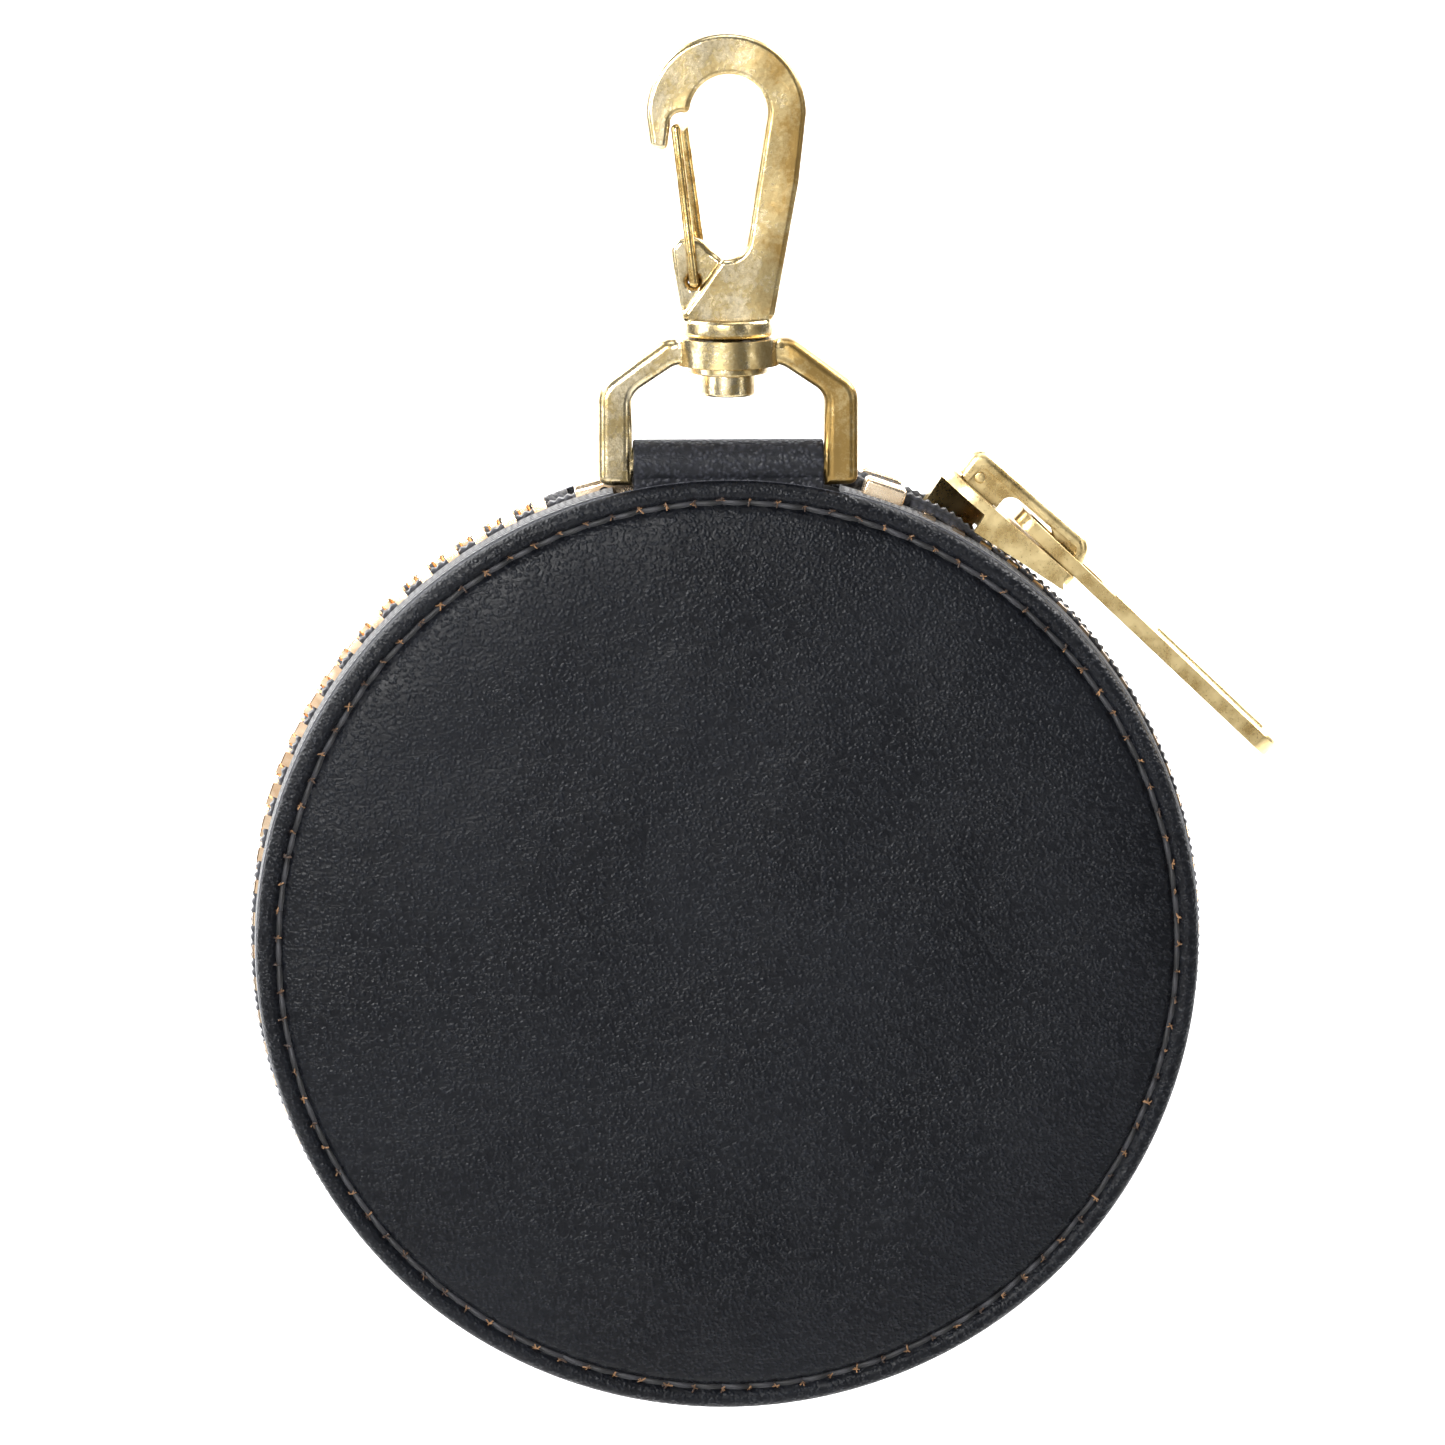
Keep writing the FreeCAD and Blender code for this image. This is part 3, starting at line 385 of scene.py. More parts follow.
def softened_copy(node, material, width, segments=3, angle=32, rigid=True, clamp=True):
    """A copy of a CAD node with its flat faces merged and its outer edges rounded."""
    mesh = NODES[node].data.copy()
    work = bmesh.new()
    work.from_mesh(mesh)
    bmesh.ops.remove_doubles(work, verts=work.verts, dist=0.000002)
    bmesh.ops.dissolve_limit(work, angle_limit=math.radians(1.0), verts=work.verts, edges=work.edges)
    bmesh.ops.recalc_face_normals(work, faces=work.faces)
    weight = work.edges.layers.float.new("bevel_weight_edge")
    for edge in work.edges:
        if edge.is_manifold and edge.is_convex and edge.calc_face_angle(0) > math.radians(angle):
            edge[weight] = 1.0
    work.to_mesh(mesh)
    work.free()
    body = NODES[node]["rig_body"] if rigid else None
    piece = link_piece(node + "_finish", mesh, material, body)
    add_modifier(piece, "BEVEL", "Rounded edges", width=width, segments=segments, limit_method="WEIGHT",
                 use_clamp_overlap=clamp)
    add_modifier(piece, "WEIGHTED_NORMAL", "Flat faces stay flat", weight=60)
    plain = bpy.data.meshes.new_from_object(piece.evaluated_get(bpy.context.evaluated_depsgraph_get()))
    piece.modifiers.clear()
    piece.data = plain
    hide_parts(node)
    return piece


# ---- geometry nodes -------------------------------------------------------------------------

def start_tree(name, sizes):
    """A geometry tree with named inputs: each is (name, socket type, default)."""
    tree = bpy.data.node_groups.new(name, "GeometryNodeTree")
    tree.interface.new_socket("Geometry", in_out="OUTPUT", socket_type="NodeSocketGeometry")
    for label, kind, default in sizes:
        socket = tree.interface.new_socket(label, in_out="INPUT", socket_type=kind)
        if default is not None:
            socket.default_value = default
    return tree, tree.nodes.new("NodeGroupInput").outputs


def end_tree(tree, geometry, material):
    real = add(tree, "GeometryNodeRealizeInstances", {"Geometry": geometry}).outputs[0]
    dressed = add(tree, "GeometryNodeSetMaterial", {"Geometry": real, "Material": material}).outputs[0]
    add(tree, "NodeGroupOutput", {0: dressed})


def grow(name, tree, body, slot, **inputs):
    """Run a tree with its inputs and keep the result as a plain mesh on one body."""
    maker = bpy.data.objects.new(name, bpy.data.meshes.new(name))
    bpy.context.scene.collection.objects.link(maker)
    modifier = maker.modifiers.new(tree.name, "NODES")
    modifier.node_group = tree
    wanted = {label.replace("_", " "): source for label, source in inputs.items()}
    for item in tree.interface.items_tree:
        if item.item_type == "SOCKET" and item.in_out == "INPUT" and item.name in wanted:
            modifier[item.identifier] = wanted[item.name]
    bpy.context.view_layer.update()
    graph = bpy.context.evaluated_depsgraph_get()
    mesh = bpy.data.meshes.new_from_object(maker.evaluated_get(graph))
    maker.modifiers.clear()
    maker.data = mesh
    mesh.name = name
    mesh.shade_smooth()
    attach(maker, body)
    return maker


FLOAT, INTEGER, VECTOR = "NodeSocketFloat", "NodeSocketInt", "NodeSocketVector"
MATERIAL, OBJECT = "NodeSocketMaterial", "NodeSocketObject"


def stitch_tree():
    """Saddle stitches round a circle: short bows of thread that dip into their holes."""
    sizes = [("Count", INTEGER, 103), ("Radius", FLOAT, 0.046), ("Height", FLOAT, 0.0088),
             ("Length", FLOAT, 0.0024), ("Thread", FLOAT, 0.0003), ("Dip", FLOAT, 0.0006), ("Seed", INTEGER, 7),
             ("Middle", VECTOR, None), ("Turn", VECTOR, None), ("Material", MATERIAL, None)]
    tree, given = start_tree("Saddle Stitches", sizes)
    half = add(tree, "ShaderNodeMath", {0: given["Length"], 1: 0.5}, operation="MULTIPLY").outputs[0]
    back = add(tree, "ShaderNodeMath", {0: half, 1: -1.0}, operation="MULTIPLY").outputs[0]
    low = add(tree, "ShaderNodeMath", {0: given["Dip"], 1: -1.0}, operation="MULTIPLY").outputs[0]
    start = add(tree, "ShaderNodeCombineXYZ", {"X": back, "Z": low}).outputs[0]
    top = add(tree, "ShaderNodeCombineXYZ", {"Z": given["Dip"]}).outputs[0]
    end = add(tree, "ShaderNodeCombineXYZ", {"X": half, "Z": low}).outputs[0]
    bow = add(tree, "GeometryNodeCurveQuadraticBezier", {"Resolution": 7, "Start": start, "Middle": top, "End": end})
    section = add(tree, "GeometryNodeCurvePrimitiveCircle", {"Resolution": 7, "Radius": given["Thread"]})
    stitch = add(tree, "GeometryNodeCurveToMesh", {"Curve": bow.outputs[0], "Profile Curve": section.outputs[0],
                                                   "Fill Caps": True}).outputs[0]
    ring = add(tree, "GeometryNodeMeshCircle", {"Vertices": given["Count"], "Radius": given["Radius"]}).outputs[0]
    count = tree.nodes.new("GeometryNodeInputIndex").outputs[0]
    share = add(tree, "ShaderNodeMath", {0: count, 1: given["Count"]}, operation="DIVIDE").outputs[0]
    angle = add(tree, "ShaderNodeMath", {0: share, 1: 2 * math.pi, 2: math.pi / 2}, operation="MULTIPLY_ADD").outputs[0]
    loose = add(tree, "FunctionNodeRandomValue", {2: -0.07, 3: 0.07, "ID": count, "Seed": given["Seed"]},
                data_type="FLOAT").outputs[1]
    aim = add(tree, "ShaderNodeMath", {0: angle, 1: loose}, operation="ADD").outputs[0]
    turn = add(tree, "ShaderNodeCombineXYZ", {"Z": aim}).outputs[0]
    laid = add(tree, "GeometryNodeInstanceOnPoints", {"Points": ring, "Instance": stitch, "Rotation": turn}).outputs[0]
    lift = add(tree, "ShaderNodeCombineXYZ", {"Z": given["Height"]}).outputs[0]
    raised = add(tree, "GeometryNodeTransform", {"Geometry": laid, "Translation": lift}).outputs[0]
    put = add(tree, "GeometryNodeTransform", {"Geometry": raised, "Translation": given["Middle"],
                                              "Rotation": given["Turn"]}).outputs[0]
    end_tree(tree, put, given["Material"])
    return tree


def fibre_tree():
    """Tufts of loose core fibre: a few short hairs that lean out of every needle hole."""
    sizes = [("Count", INTEGER, 103), ("Radius", FLOAT, 0.046), ("Height", FLOAT, 0.0088),
             ("Length", FLOAT, 0.0008), ("Hair", FLOAT, 0.00006), ("Seed", INTEGER, 3), ("Phase", FLOAT, 0.0),
             ("Middle", VECTOR, None), ("Turn", VECTOR, None), ("Material", MATERIAL, None)]
    tree, given = start_tree("Core Fibres", sizes)
    side = add(tree, "ShaderNodeMath", {0: given["Length"], 1: 0.5}, operation="MULTIPLY").outputs[0]
    middle = add(tree, "ShaderNodeCombineXYZ", {"X": side, "Z": side}).outputs[0]
    end = add(tree, "ShaderNodeCombineXYZ", {"X": given["Length"], "Z": side}).outputs[0]
    hair = add(tree, "GeometryNodeCurveQuadraticBezier", {"Resolution": 4, "Start": (0, 0, 0), "Middle": middle,
                                                          "End": end})
    section = add(tree, "GeometryNodeCurvePrimitiveCircle", {"Resolution": 4, "Radius": given["Hair"]})
    strand = add(tree, "GeometryNodeCurveToMesh", {"Curve": hair.outputs[0], "Profile Curve": section.outputs[0],
                                                   "Fill Caps": True}).outputs[0]
    ring = add(tree, "GeometryNodeMeshCircle", {"Vertices": given["Count"], "Radius": given["Radius"]}).outputs[0]
    count = tree.nodes.new("GeometryNodeInputIndex").outputs[0]
    tufts = tree.nodes.new("GeometryNodeJoinGeometry")
    for number in range(5):
        seed = add(tree, "ShaderNodeMath", {0: given["Seed"], 1: float(number)}, operation="ADD").outputs[0]
        turn = add(tree, "FunctionNodeRandomValue", {0: (-0.7, -0.5, 0.0), 1: (0.7, 0.5, 6.28), "ID": count,
                                                     "Seed": seed}, data_type="FLOAT_VECTOR").outputs[0]
        size = add(tree, "FunctionNodeRandomValue", {2: 0.45, 3: 1.1, "ID": count, "Seed": seed},
                   data_type="FLOAT").outputs[1]
        laid = add(tree, "GeometryNodeInstanceOnPoints", {"Points": ring, "Instance": strand, "Rotation": turn,
                                                          "Scale": size}).outputs[0]
        tree.links.new(laid, tufts.inputs[0])
    lift = add(tree, "ShaderNodeCombineXYZ", {"Z": given["Height"]}).outputs[0]
    spin = add(tree, "ShaderNodeCombineXYZ", {"Z": given["Phase"]}).outputs[0]
    raised = add(tree, "GeometryNodeTransform", {"Geometry": tufts.outputs[0], "Translation": lift,
                                                 "Rotation": spin}).outputs[0]
    put = add(tree, "GeometryNodeTransform", {"Geometry": raised, "Translation": given["Middle"],
                                              "Rotation": given["Turn"]}).outputs[0]
    end_tree(tree, put, given["Material"])
    return tree


def tooth_tree():
    """A row of zip teeth round the edge; the row stands apart ahead of the slider's post."""
    sizes = [("Count", INTEGER, 79), ("Start", FLOAT, 0.0), ("Step", FLOAT, 0.07), ("Radius", FLOAT, 0.048),
             ("Splay Start", FLOAT, 0.97), ("Splay Full", FLOAT, 1.08), ("Splay", FLOAT, 0.00275),
             ("Side", FLOAT, 1.0), ("Rise", FLOAT, 0.0006), ("Rise Start", FLOAT, -3.2), ("Rise Full", FLOAT, -3.5),
             ("Middle", VECTOR, None), ("Tooth", OBJECT, None), ("Material", MATERIAL, None)]
    tree, given = start_tree("Tooth Row", sizes)
    line = add(tree, "GeometryNodeMeshLine", {"Count": given["Count"]}).outputs[0]
    count = tree.nodes.new("GeometryNodeInputIndex").outputs[0]
    moved = add(tree, "ShaderNodeMath", {0: count, 1: given["Step"]}, operation="MULTIPLY").outputs[0]
    angle = add(tree, "ShaderNodeMath", {0: given["Start"], 1: moved}, operation="SUBTRACT").outputs[0]
    apart = add(tree, "ShaderNodeMapRange", {"Value": angle, "From Min": given["Splay Start"],
                                             "From Max": given["Splay Full"], "To Min": 0.0,
                                             "To Max": given["Splay"]}, interpolation_type="SMOOTHSTEP").outputs[0]
    across = add(tree, "ShaderNodeMath", {0: apart, 1: given["Side"]}, operation="MULTIPLY").outputs[0]
    lifted = add(tree, "ShaderNodeMapRange", {"Value": angle, "From Min": given["Rise Start"],
                                              "From Max": given["Rise Full"], "To Min": 0.0,
                                              "To Max": given["Rise"]}, interpolation_type="SMOOTHSTEP").outputs[0]
    far = add(tree, "ShaderNodeMath", {0: given["Radius"], 1: lifted}, operation="ADD").outputs[0]
    cosine = add(tree, "ShaderNodeMath", {0: angle}, operation="COSINE").outputs[0]
    sine = add(tree, "ShaderNodeMath", {0: angle}, operation="SINE").outputs[0]
    out_x = add(tree, "ShaderNodeMath", {0: cosine, 1: far}, operation="MULTIPLY").outputs[0]
    out_z = add(tree, "ShaderNodeMath", {0: sine, 1: far}, operation="MULTIPLY").outputs[0]
    spot = add(tree, "ShaderNodeCombineXYZ", {"X": out_x, "Y": across, "Z": out_z}).outputs[0]
    placed = add(tree, "GeometryNodeSetPosition", {"Geometry": line, "Position": spot}).outputs[0]
    lean = add(tree, "ShaderNodeMath", {0: math.pi / 2, 1: angle}, operation="SUBTRACT").outputs[0]
    turn = add(tree, "ShaderNodeCombineXYZ", {"Y": lean}).outputs[0]
    tooth = add(tree, "GeometryNodeObjectInfo", {"Object": given["Tooth"]}).outputs["Geometry"]
    laid = add(tree, "GeometryNodeInstanceOnPoints", {"Points": placed, "Instance": tooth, "Rotation": turn}).outputs[0]
    put = add(tree, "GeometryNodeTransform", {"Geometry": laid, "Translation": given["Middle"]}).outputs[0]
    end_tree(tree, put, given["Material"])
    return tree


# ---- sizes and colours ----------------------------------------------------------------------

def length(name, what, default):
    return bpy.props.FloatProperty(name=name, description=what, default=default, min=0.0, unit="LENGTH", precision=5)


def tint(name, what, code):
    return bpy.props.FloatVectorProperty(name=name, description=what, default=paint(code), size=4, min=0.0, max=1.0,
                                         subtype="COLOR")


class LeatherSizes(bpy.types.PropertyGroup):
    """Sizes and colours of the leather faces and their seams."""
    dark: tint("Dark", "Dye in the creases", "#05060a")
    light: tint("Light", "Dye on the grain", "#101319")
    grain: length("Grain", "Across one cell of the grain", 0.0004)
    crown: length("Crown", "How far the padding lifts the face's middle", 0.0008)
    seam_inset: length("Seam inset", "From the leather's edge to the seam", 0.0022)
    groove_deep: length("Groove depth", "How deep the seam pulls the leather in", 0.0008)
    stitch_pitch: length("Stitch pitch", "From one needle hole to the next", 0.0028)
    thread: length("Thread", "Radius of the thread", 0.00033)


class ZipSizes(bpy.types.PropertyGroup):
    """Sizes and colours of the zip."""
    tape: tint("Tape", "Woven tape", "#0e0f12")
    tooth_bright: tint("Tooth", "Plate on the teeth", "#ffe4c4")
    slider_bright: tint("Slider", "Plate on the slider and puller", "#ecd49c")
    bead_bump: length("Bead bump", "How far the cord's turns stand out", 0.0001)
    bead_lay: length("Bead lay", "From one turn of the cord to the next", 0.00092)
    tooth_wide: length("Tooth width", "Width of a tooth along the tape", 0.0014)


class HookSizes(bpy.types.PropertyGroup):
    """Colours and edges of the hook, swivel and ring."""
    bright: tint("Bright", "Rubbed brass", "#efdfbb")
    # Dull and shade are the aged brass and its oxide mottle, and they also colour the painted shade on the right side
    # of the hook and ring.
    dull: tint("Dull", "Aged brass", "#b9a577")
    shade: tint("Shade", "Oxide in the pits", "#8f7443")
    round: length("Rounding", "Radius of the hook's edges", 0.0006)


# ---- the pieces -----------------------------------------------------------------------------

FACE_TURN = {"front": (math.pi / 2, 0, 0), "back": (math.pi / 2, 0, math.pi)}


def stitch_count():
    looks = bpy.context.scene.leather_sizes
    return round(2 * math.pi * (PANEL_RADIUS - looks.seam_inset) / looks.stitch_pitch)


def face_height(side, radius, angle, looks):
    """Height of a leather face: padded crown, rolled rim, seam groove and dimpled needle holes."""
    seam = PANEL_RADIUS - looks.seam_inset
    padded_edge, padded_rise = seam - 0.8 * MM, 9 * MM
    roll, roll_reach = 1.0 * MM, 1.02 * MM
    groove_wide, hole_wide, hole_deep = 0.52 * MM, 0.36 * MM, 0.4 * MM
    level = HALF_THICK - 0.12 * MM
    if radius < padded_edge:
        share = min((padded_edge - radius) / padded_rise, 1)
        level += looks.crown * (1 - (1 - share) ** 2)
        spot = Vector((radius * math.cos(angle), radius * math.sin(angle), 0.0 if side == "front" else 0.3))
        stretched = Vector((spot.x * 0.35, spot.y, spot.z))
        swell = noise.noise(spot * per_mm(19)) * 0.26 + noise.noise(stretched * per_mm(5)) * 0.05
        level += swell * MM * share
    rim = radius - (PANEL_RADIUS - roll)
    if rim > 0:
        level -= roll * (1 - math.sqrt(max(1 - (rim / roll_reach) ** 2, 0)))
    wave = math.cos(stitch_count() * angle)
    hole = math.exp(-((radius - seam) / hole_wide) ** 2) * max(wave, 0) ** 6
    groove = math.exp(-((radius - seam) / groove_wide) ** 2)
    level -= looks.groove_deep * groove * (1 + 0.12 * wave) + hole_deep * hole
    return level


def build_face(side, material):
    """One leather face with its thickness: rows of points close together where the seam dips."""
    looks = bpy.context.scene.leather_sizes
    seam = PANEL_RADIUS - looks.seam_inset
    around = stitch_count() * 6
    inner = [PANEL_RADIUS * share for share in (0.03, 0.1, 0.18, 0.26, 0.34, 0.42, 0.5, 0.57, 0.64, 0.7, 0.76,
                                                0.81, 0.85)]
    close = [seam + step * MM for step in (-4.2, -3.4, -2.7, -2.1, -1.6, -1.2, -0.9, -0.65, -0.42, -0.2, 0, 0.2,
                                           0.42, 0.65, 0.9, 1.2, 1.45, 1.65, 1.8, 1.92, 2.02, 2.1, 2.16, 2.2)]
    angles = [2 * math.pi * k / around for k in range(around)]
    rows = [[disc_point(side, radius, angle, face_height(side, radius, angle, looks)) for angle in angles]
            for radius in inner + close]
    floor = HALF_THICK - LEATHER
    for radius, height in ((PANEL_RADIUS, floor + 0.1 * MM), (PANEL_RADIUS - 0.1 * MM, floor),
                           (0.3 * PANEL_RADIUS, floor)):
        rows.append([disc_point(side, radius, angle, height) for angle in angles])
    mesh = finish_mesh(grid_mesh(f"{side}_leather", rows, closed_columns=True))
    piece = link_piece(f"{side}_leather_face", mesh, material, f"{side}_shell")
    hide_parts(f"{side}_panel")


class PURSE_OT_leather_faces(bpy.types.Operator):
    """Make the two round leather faces, crowned over their padding and pulled in at the seam"""
    bl_idname = "purse.leather_faces"
    bl_label = "Leather Faces"

    def execute(self, context):
        looks = bpy.context.scene.leather_sizes
        calf = pebbled_calf("Pebbled Calf Leather", looks.dark, looks.light, looks.grain / MM)
        edge = pebbled_calf("Painted Leather Edge", paint("#3a3b40"), paint("#5c5d63"), 0.4, (0.3, 0.42))
        for side in SIDES:
            build_face(side, calf)
            self.edge_bead(side, edge)
        return {"FINISHED"}

    def edge_bead(self, side, material):
        """A hair-thin bead of edge paint round the outside of the leather."""
        floor = HALF_THICK - LEATHER
        rows = []
        for k in range(480):
            angle = 2 * math.pi * k / 480
            ring = []
            for i in range(8):
                about = 2 * math.pi * i / 8
                ring.append(disc_point(side, PANEL_RADIUS - 0.03 * MM + 0.11 * MM * math.cos(about), angle,
                                       floor + 0.2 * MM + 0.1 * MM * math.sin(about)))
            rows.append(ring)
        mesh = finish_mesh(grid_mesh(f"{side}_edge_paint", rows, True, True), 0.000001)
        link_piece(f"{side}_edge_paint", mesh, material, f"{side}_shell")


class PURSE_OT_seams(bpy.types.Operator):
    """Sew the seams: stitches in their groove and fibre tufts at the needle holes"""
    bl_idname = "purse.seams"
    bl_label = "Seams"

    def execute(self, context):
        looks = bpy.context.scene.leather_sizes
        black = spun_thread("Waxed Polyester Thread", paint("#08080a"), paint("#26262b"))
        core = spun_thread("Raw Cotton Core", paint("#3a2412"), paint("#a0754a"), 2.51327)
        stitches, fibres = stitch_tree(), fibre_tree()
        count = stitch_count()
        seam = PANEL_RADIUS - looks.seam_inset
        level = HALF_THICK - looks.groove_deep
        for number, side in enumerate(SIDES):
            common = {"Count": count, "Middle": tuple(CENTRE), "Turn": FACE_TURN[side]}
            thread = grow(f"{side}_stitches", stitches, f"{side}_shell", "thread", Radius=seam,
                          Height=level + 0.02 * MM, Length=looks.stitch_pitch * 0.92, Thread=looks.thread,
                          Dip=0.42 * MM, Seed=7 + number, Material=black, **common)
            half_step = math.pi / count
            thread.data.transform(about_disc(side, half_step))
            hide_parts(f"{side}_seam_thread")
            grow(f"{side}_core_fibres", fibres, f"{side}_shell", "thread", Radius=seam + 0.22 * MM,
                 Height=level - 0.02 * MM, Length=0.55 * MM, Hair=0.085 * MM, Seed=30 + number,
                 Phase=0.0, Material=core, **common)
        return {"FINISHED"}


def about_disc(side, angle):
    """Turn about the disc's axis, counted the way that side's face sees it."""
    sign = -1 if side == "front" else 1
    turn = Matrix.Rotation(sign * angle, 4, "Y")
    return Matrix.Translation(CENTRE) @ turn @ Matrix.Translation(-CENTRE)


class PURSE_OT_linings(bpy.types.Operator):
    """Line both halves with twill over felt and board"""
    bl_idname = "purse.linings"
    bl_label = "Linings"

    def execute(self, context):
        twill = twill_lining("Cotton Twill Lining", paint("#101114"), paint("#2c2d33"))
        felt = pressed_board("Grey Wool Felt", paint("#3c3c40"), paint("#77777c"))
        board = pressed_board("Bonded Leather Board", paint("#6b4c2c"), paint("#a98557"))
        for side in SIDES:
            self.lining(side, twill)
            self.core(side, "padding", felt, "foam")
            self.core(side, "stiffener", board, "board")
        return {"FINISHED"}

    def lining(self, side, material):
        """A shallow tray of cloth, glued flat and turned out to the tape at its rim."""
        radius = (LINING_HIGH.z - LINING_LOW.z) / 2
        rim = [(radius * share, 0.0) for share in (0.04, 0.15, 0.3, 0.45, 0.6, 0.74, 0.86, 0.94)]
        rim += [(radius - 0.9 * MM, 0.02 * MM), (radius - 0.2 * MM, 0.16 * MM), (radius + 0.25 * MM, 0.6 * MM),
                (radius + 0.6 * MM, 1.3 * MM), (radius + 1.4 * MM, 1.85 * MM), (radius + 3.1 * MM, 2.1 * MM)]
        rows = []
        for out, fall in rim:
            row = []
            for k in range(240):
                angle = 2 * math.pi * k / 240
                spot = Vector((out * math.cos(angle), out * math.sin(angle), 0.1 if side == "front" else 0.7))
                ripple = 0.09 * noise.noise(spot * per_mm(11)) + 0.05 * noise.noise(spot * per_mm(4))
                row.append(disc_point(side, out, angle, LINING_HALF + fall + max(ripple, -0.02) * MM))
            rows.append(row)
        mesh = grid_mesh(f"{side}_lining_cloth", rows, closed_columns=True)
        mesh = finish_mesh(thicken(mesh, side, 0.3 * MM))
        piece = link_piece(f"{side}_lining_cloth", mesh, material, f"{side}_shell")
        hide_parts(f"{side}_lining")

    def core(self, side, name, material, slot):
        """A plain inner disc with a rounded rim, seen only edge on inside the purse."""
        low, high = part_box(f"{side}_{name}")
        radius = (high.z - low.z) / 2
        near, far = sorted((abs(low.y - CENTRE.y), abs(high.y - CENTRE.y)))
        near, far = near + 0.32 * MM if name == "padding" else near, far - 0.02 * MM
        soft = (far - near) * 0.35
        outline = [(radius * 0.05, near), (radius * 0.6, near), (radius - soft, near),
                   (radius - 0.3 * soft, near + 0.3 * soft),
                   (radius, near + soft), (radius, far - soft), (radius - 0.3 * soft, far - 0.3 * soft),
                   (radius - soft, far), (radius * 0.05, far)]
        rows = [[disc_point(side, out, 2 * math.pi * k / 180, height) for k in range(180)] for out, height in outline]
        label = f"{side}_felt" if name == "padding" else f"{side}_board"
        piece = link_piece(label, finish_mesh(grid_mesh(label, rows, closed_columns=True)), material,
                           f"{side}_shell")
        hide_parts(f"{side}_{name}")


def thicken(mesh, side, thick):
    """Close an open cloth surface with a second face a thickness behind it."""
    forward = -1 if side == "front" else 1
    work = bmesh.new()
    work.from_mesh(mesh)
    copy = bmesh.ops.duplicate(work, geom=work.verts[:] + work.edges[:] + work.faces[:])["geom"]
    moved = [item for item in copy if isinstance(item, bmesh.types.BMVert)]
    bmesh.ops.translate(work, verts=moved, vec=(0, forward * thick, 0))
    rims = [edge for edge in work.edges if edge.is_boundary]
    far = max((edge.verts[0].co - CENTRE).length for edge in rims)
    outer = [edge for edge in rims if (edge.verts[0].co - CENTRE).length > far * 0.9]
    bmesh.ops.bridge_loops(work, edges=outer)
    work.to_mesh(mesh)
    work.free()
    return mesh


class PURSE_OT_zip_tapes(bpy.types.Operator):
    """Weave the zip tapes round the edge, each with a corded bead"""
    bl_idname = "purse.zip_tapes"
    bl_label = "Zip Tapes"

    def execute(self, context):
        looks = bpy.context.scene.zip_sizes
        cloth = woven_tape("Woven Polyester Tape", looks.tape, paint("#2b2c31"))
        cord = woven_tape("Braided Tape Cord", looks.tape, paint("#303138"), 0.9, 0.5)
        for side in SIDES:
            self.wall(side, cloth)
            self.bead(side, cord, looks)
        return {"FINISHED"}

    def spread(self, side):
        """The angles that the tape runs between, from the CAD tape's own ends."""
        spots = [vertex.co - CENTRE for vertex in NODES[f"{side}_tape"].data.vertices]
        angles = sorted(math.atan2(spot.z, spot.x) % (2 * math.pi) for spot in spots)
        gaps = [(later - earlier, earlier, later) for earlier, later in zip(angles, angles[1:])]
        _, start, end = max(gaps)
        return end, start + 2 * math.pi

    def wall(self, side, material):
        low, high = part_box(f"{side}_tape")
        outer = (high.x - low.x) / 2 - 0.55 * MM
        inner, edge = outer - 0.6 * MM, 1.35 * MM
        back, face = HALF_THICK - LEATHER - 0.55 * MM, HALF_THICK - LEATHER - 0.02 * MM
        core = PANEL_RADIUS - 4.25 * MM
        section = [(core, back), (inner - 1.2 * MM, back), (inner - 0.2 * MM, back - 0.25 * MM), (inner, back - 1 * MM),
                   (inner, edge + 1 * MM), (inner, edge), (outer, edge), (outer + 0.05 * MM, edge + 1.2 * MM),
                   (outer + 0.1 * MM, (edge + face) / 2), (outer + 0.02 * MM, face - 1 * MM),
                   (outer - 0.1 * MM, face - 0.2 * MM), (outer - 0.5 * MM, face), (core, face)]
        start, end = self.spread(side)
        steps = 420
        rows, marks = [], []
        for k in range(steps + 1):
            angle = start + (end - start) * k / steps
            rows.append([disc_point(side, out, angle, height) for out, height in section])
            marks.append(angle * outer / MM)
        mesh = grid_mesh(f"{side}_tape_cloth", rows, closed_columns=True)
        across = [0.0]
        for first, second in zip(section, section[1:]):
            across.append(across[-1] + math.dist(first, second) / MM)
        lay_uv(mesh, len(section), marks, across)
        piece = link_piece(f"{side}_tape_cloth", finish_mesh(mesh), material, f"{side}_shell")
        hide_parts(f"{side}_tape")

    def bead(self, side, material, looks):
        low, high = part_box(f"{side}_tape")
        radius = (high.x - low.x) / 2 - 0.85 * MM
        start, end = self.spread(side)
        steps, around = 2600, 10
        rows, marks = [], []
        for k in range(steps + 1):
            angle = start + (end - start) * k / steps
            turn = angle * radius / looks.bead_lay
            near = (angle - start) % (2 * math.pi)
            open_end = 2 * math.pi - (start - SPLAY_START) % (2 * math.pi)
            lift = smooth_step((near - open_end) / math.radians(7)) * 0.9 * MM
            ring = []
            for i in range(around):
                about = 2 * math.pi * i / around
                thick = 0.8 * MM + looks.bead_bump * math.cos(2 * math.pi * turn - about)
                ring.append(disc_point(side, radius + lift + thick * math.cos(about), angle,
                                       2.3 * MM + thick * math.sin(about)))
            rows.append(ring)
            marks.append(angle * radius / MM)
        mesh = grid_mesh(f"{side}_tape_bead", rows, closed_columns=True)
        lay_uv(mesh, around, marks, [i * 0.55 for i in range(around)])
        link_piece(f"{side}_tape_bead", finish_mesh(mesh), material, f"{side}_shell")


def lay_uv(mesh, wide, along, across):
    """Write a UV map in millimetres along and across a strip made by grid_mesh."""
    layer = mesh.uv_layers.new(name="UVMap")
    for loop in mesh.loops:
        row, column = divmod(loop.vertex_index, wide)
        layer.data[loop.index].uv = (along[row], across[column])


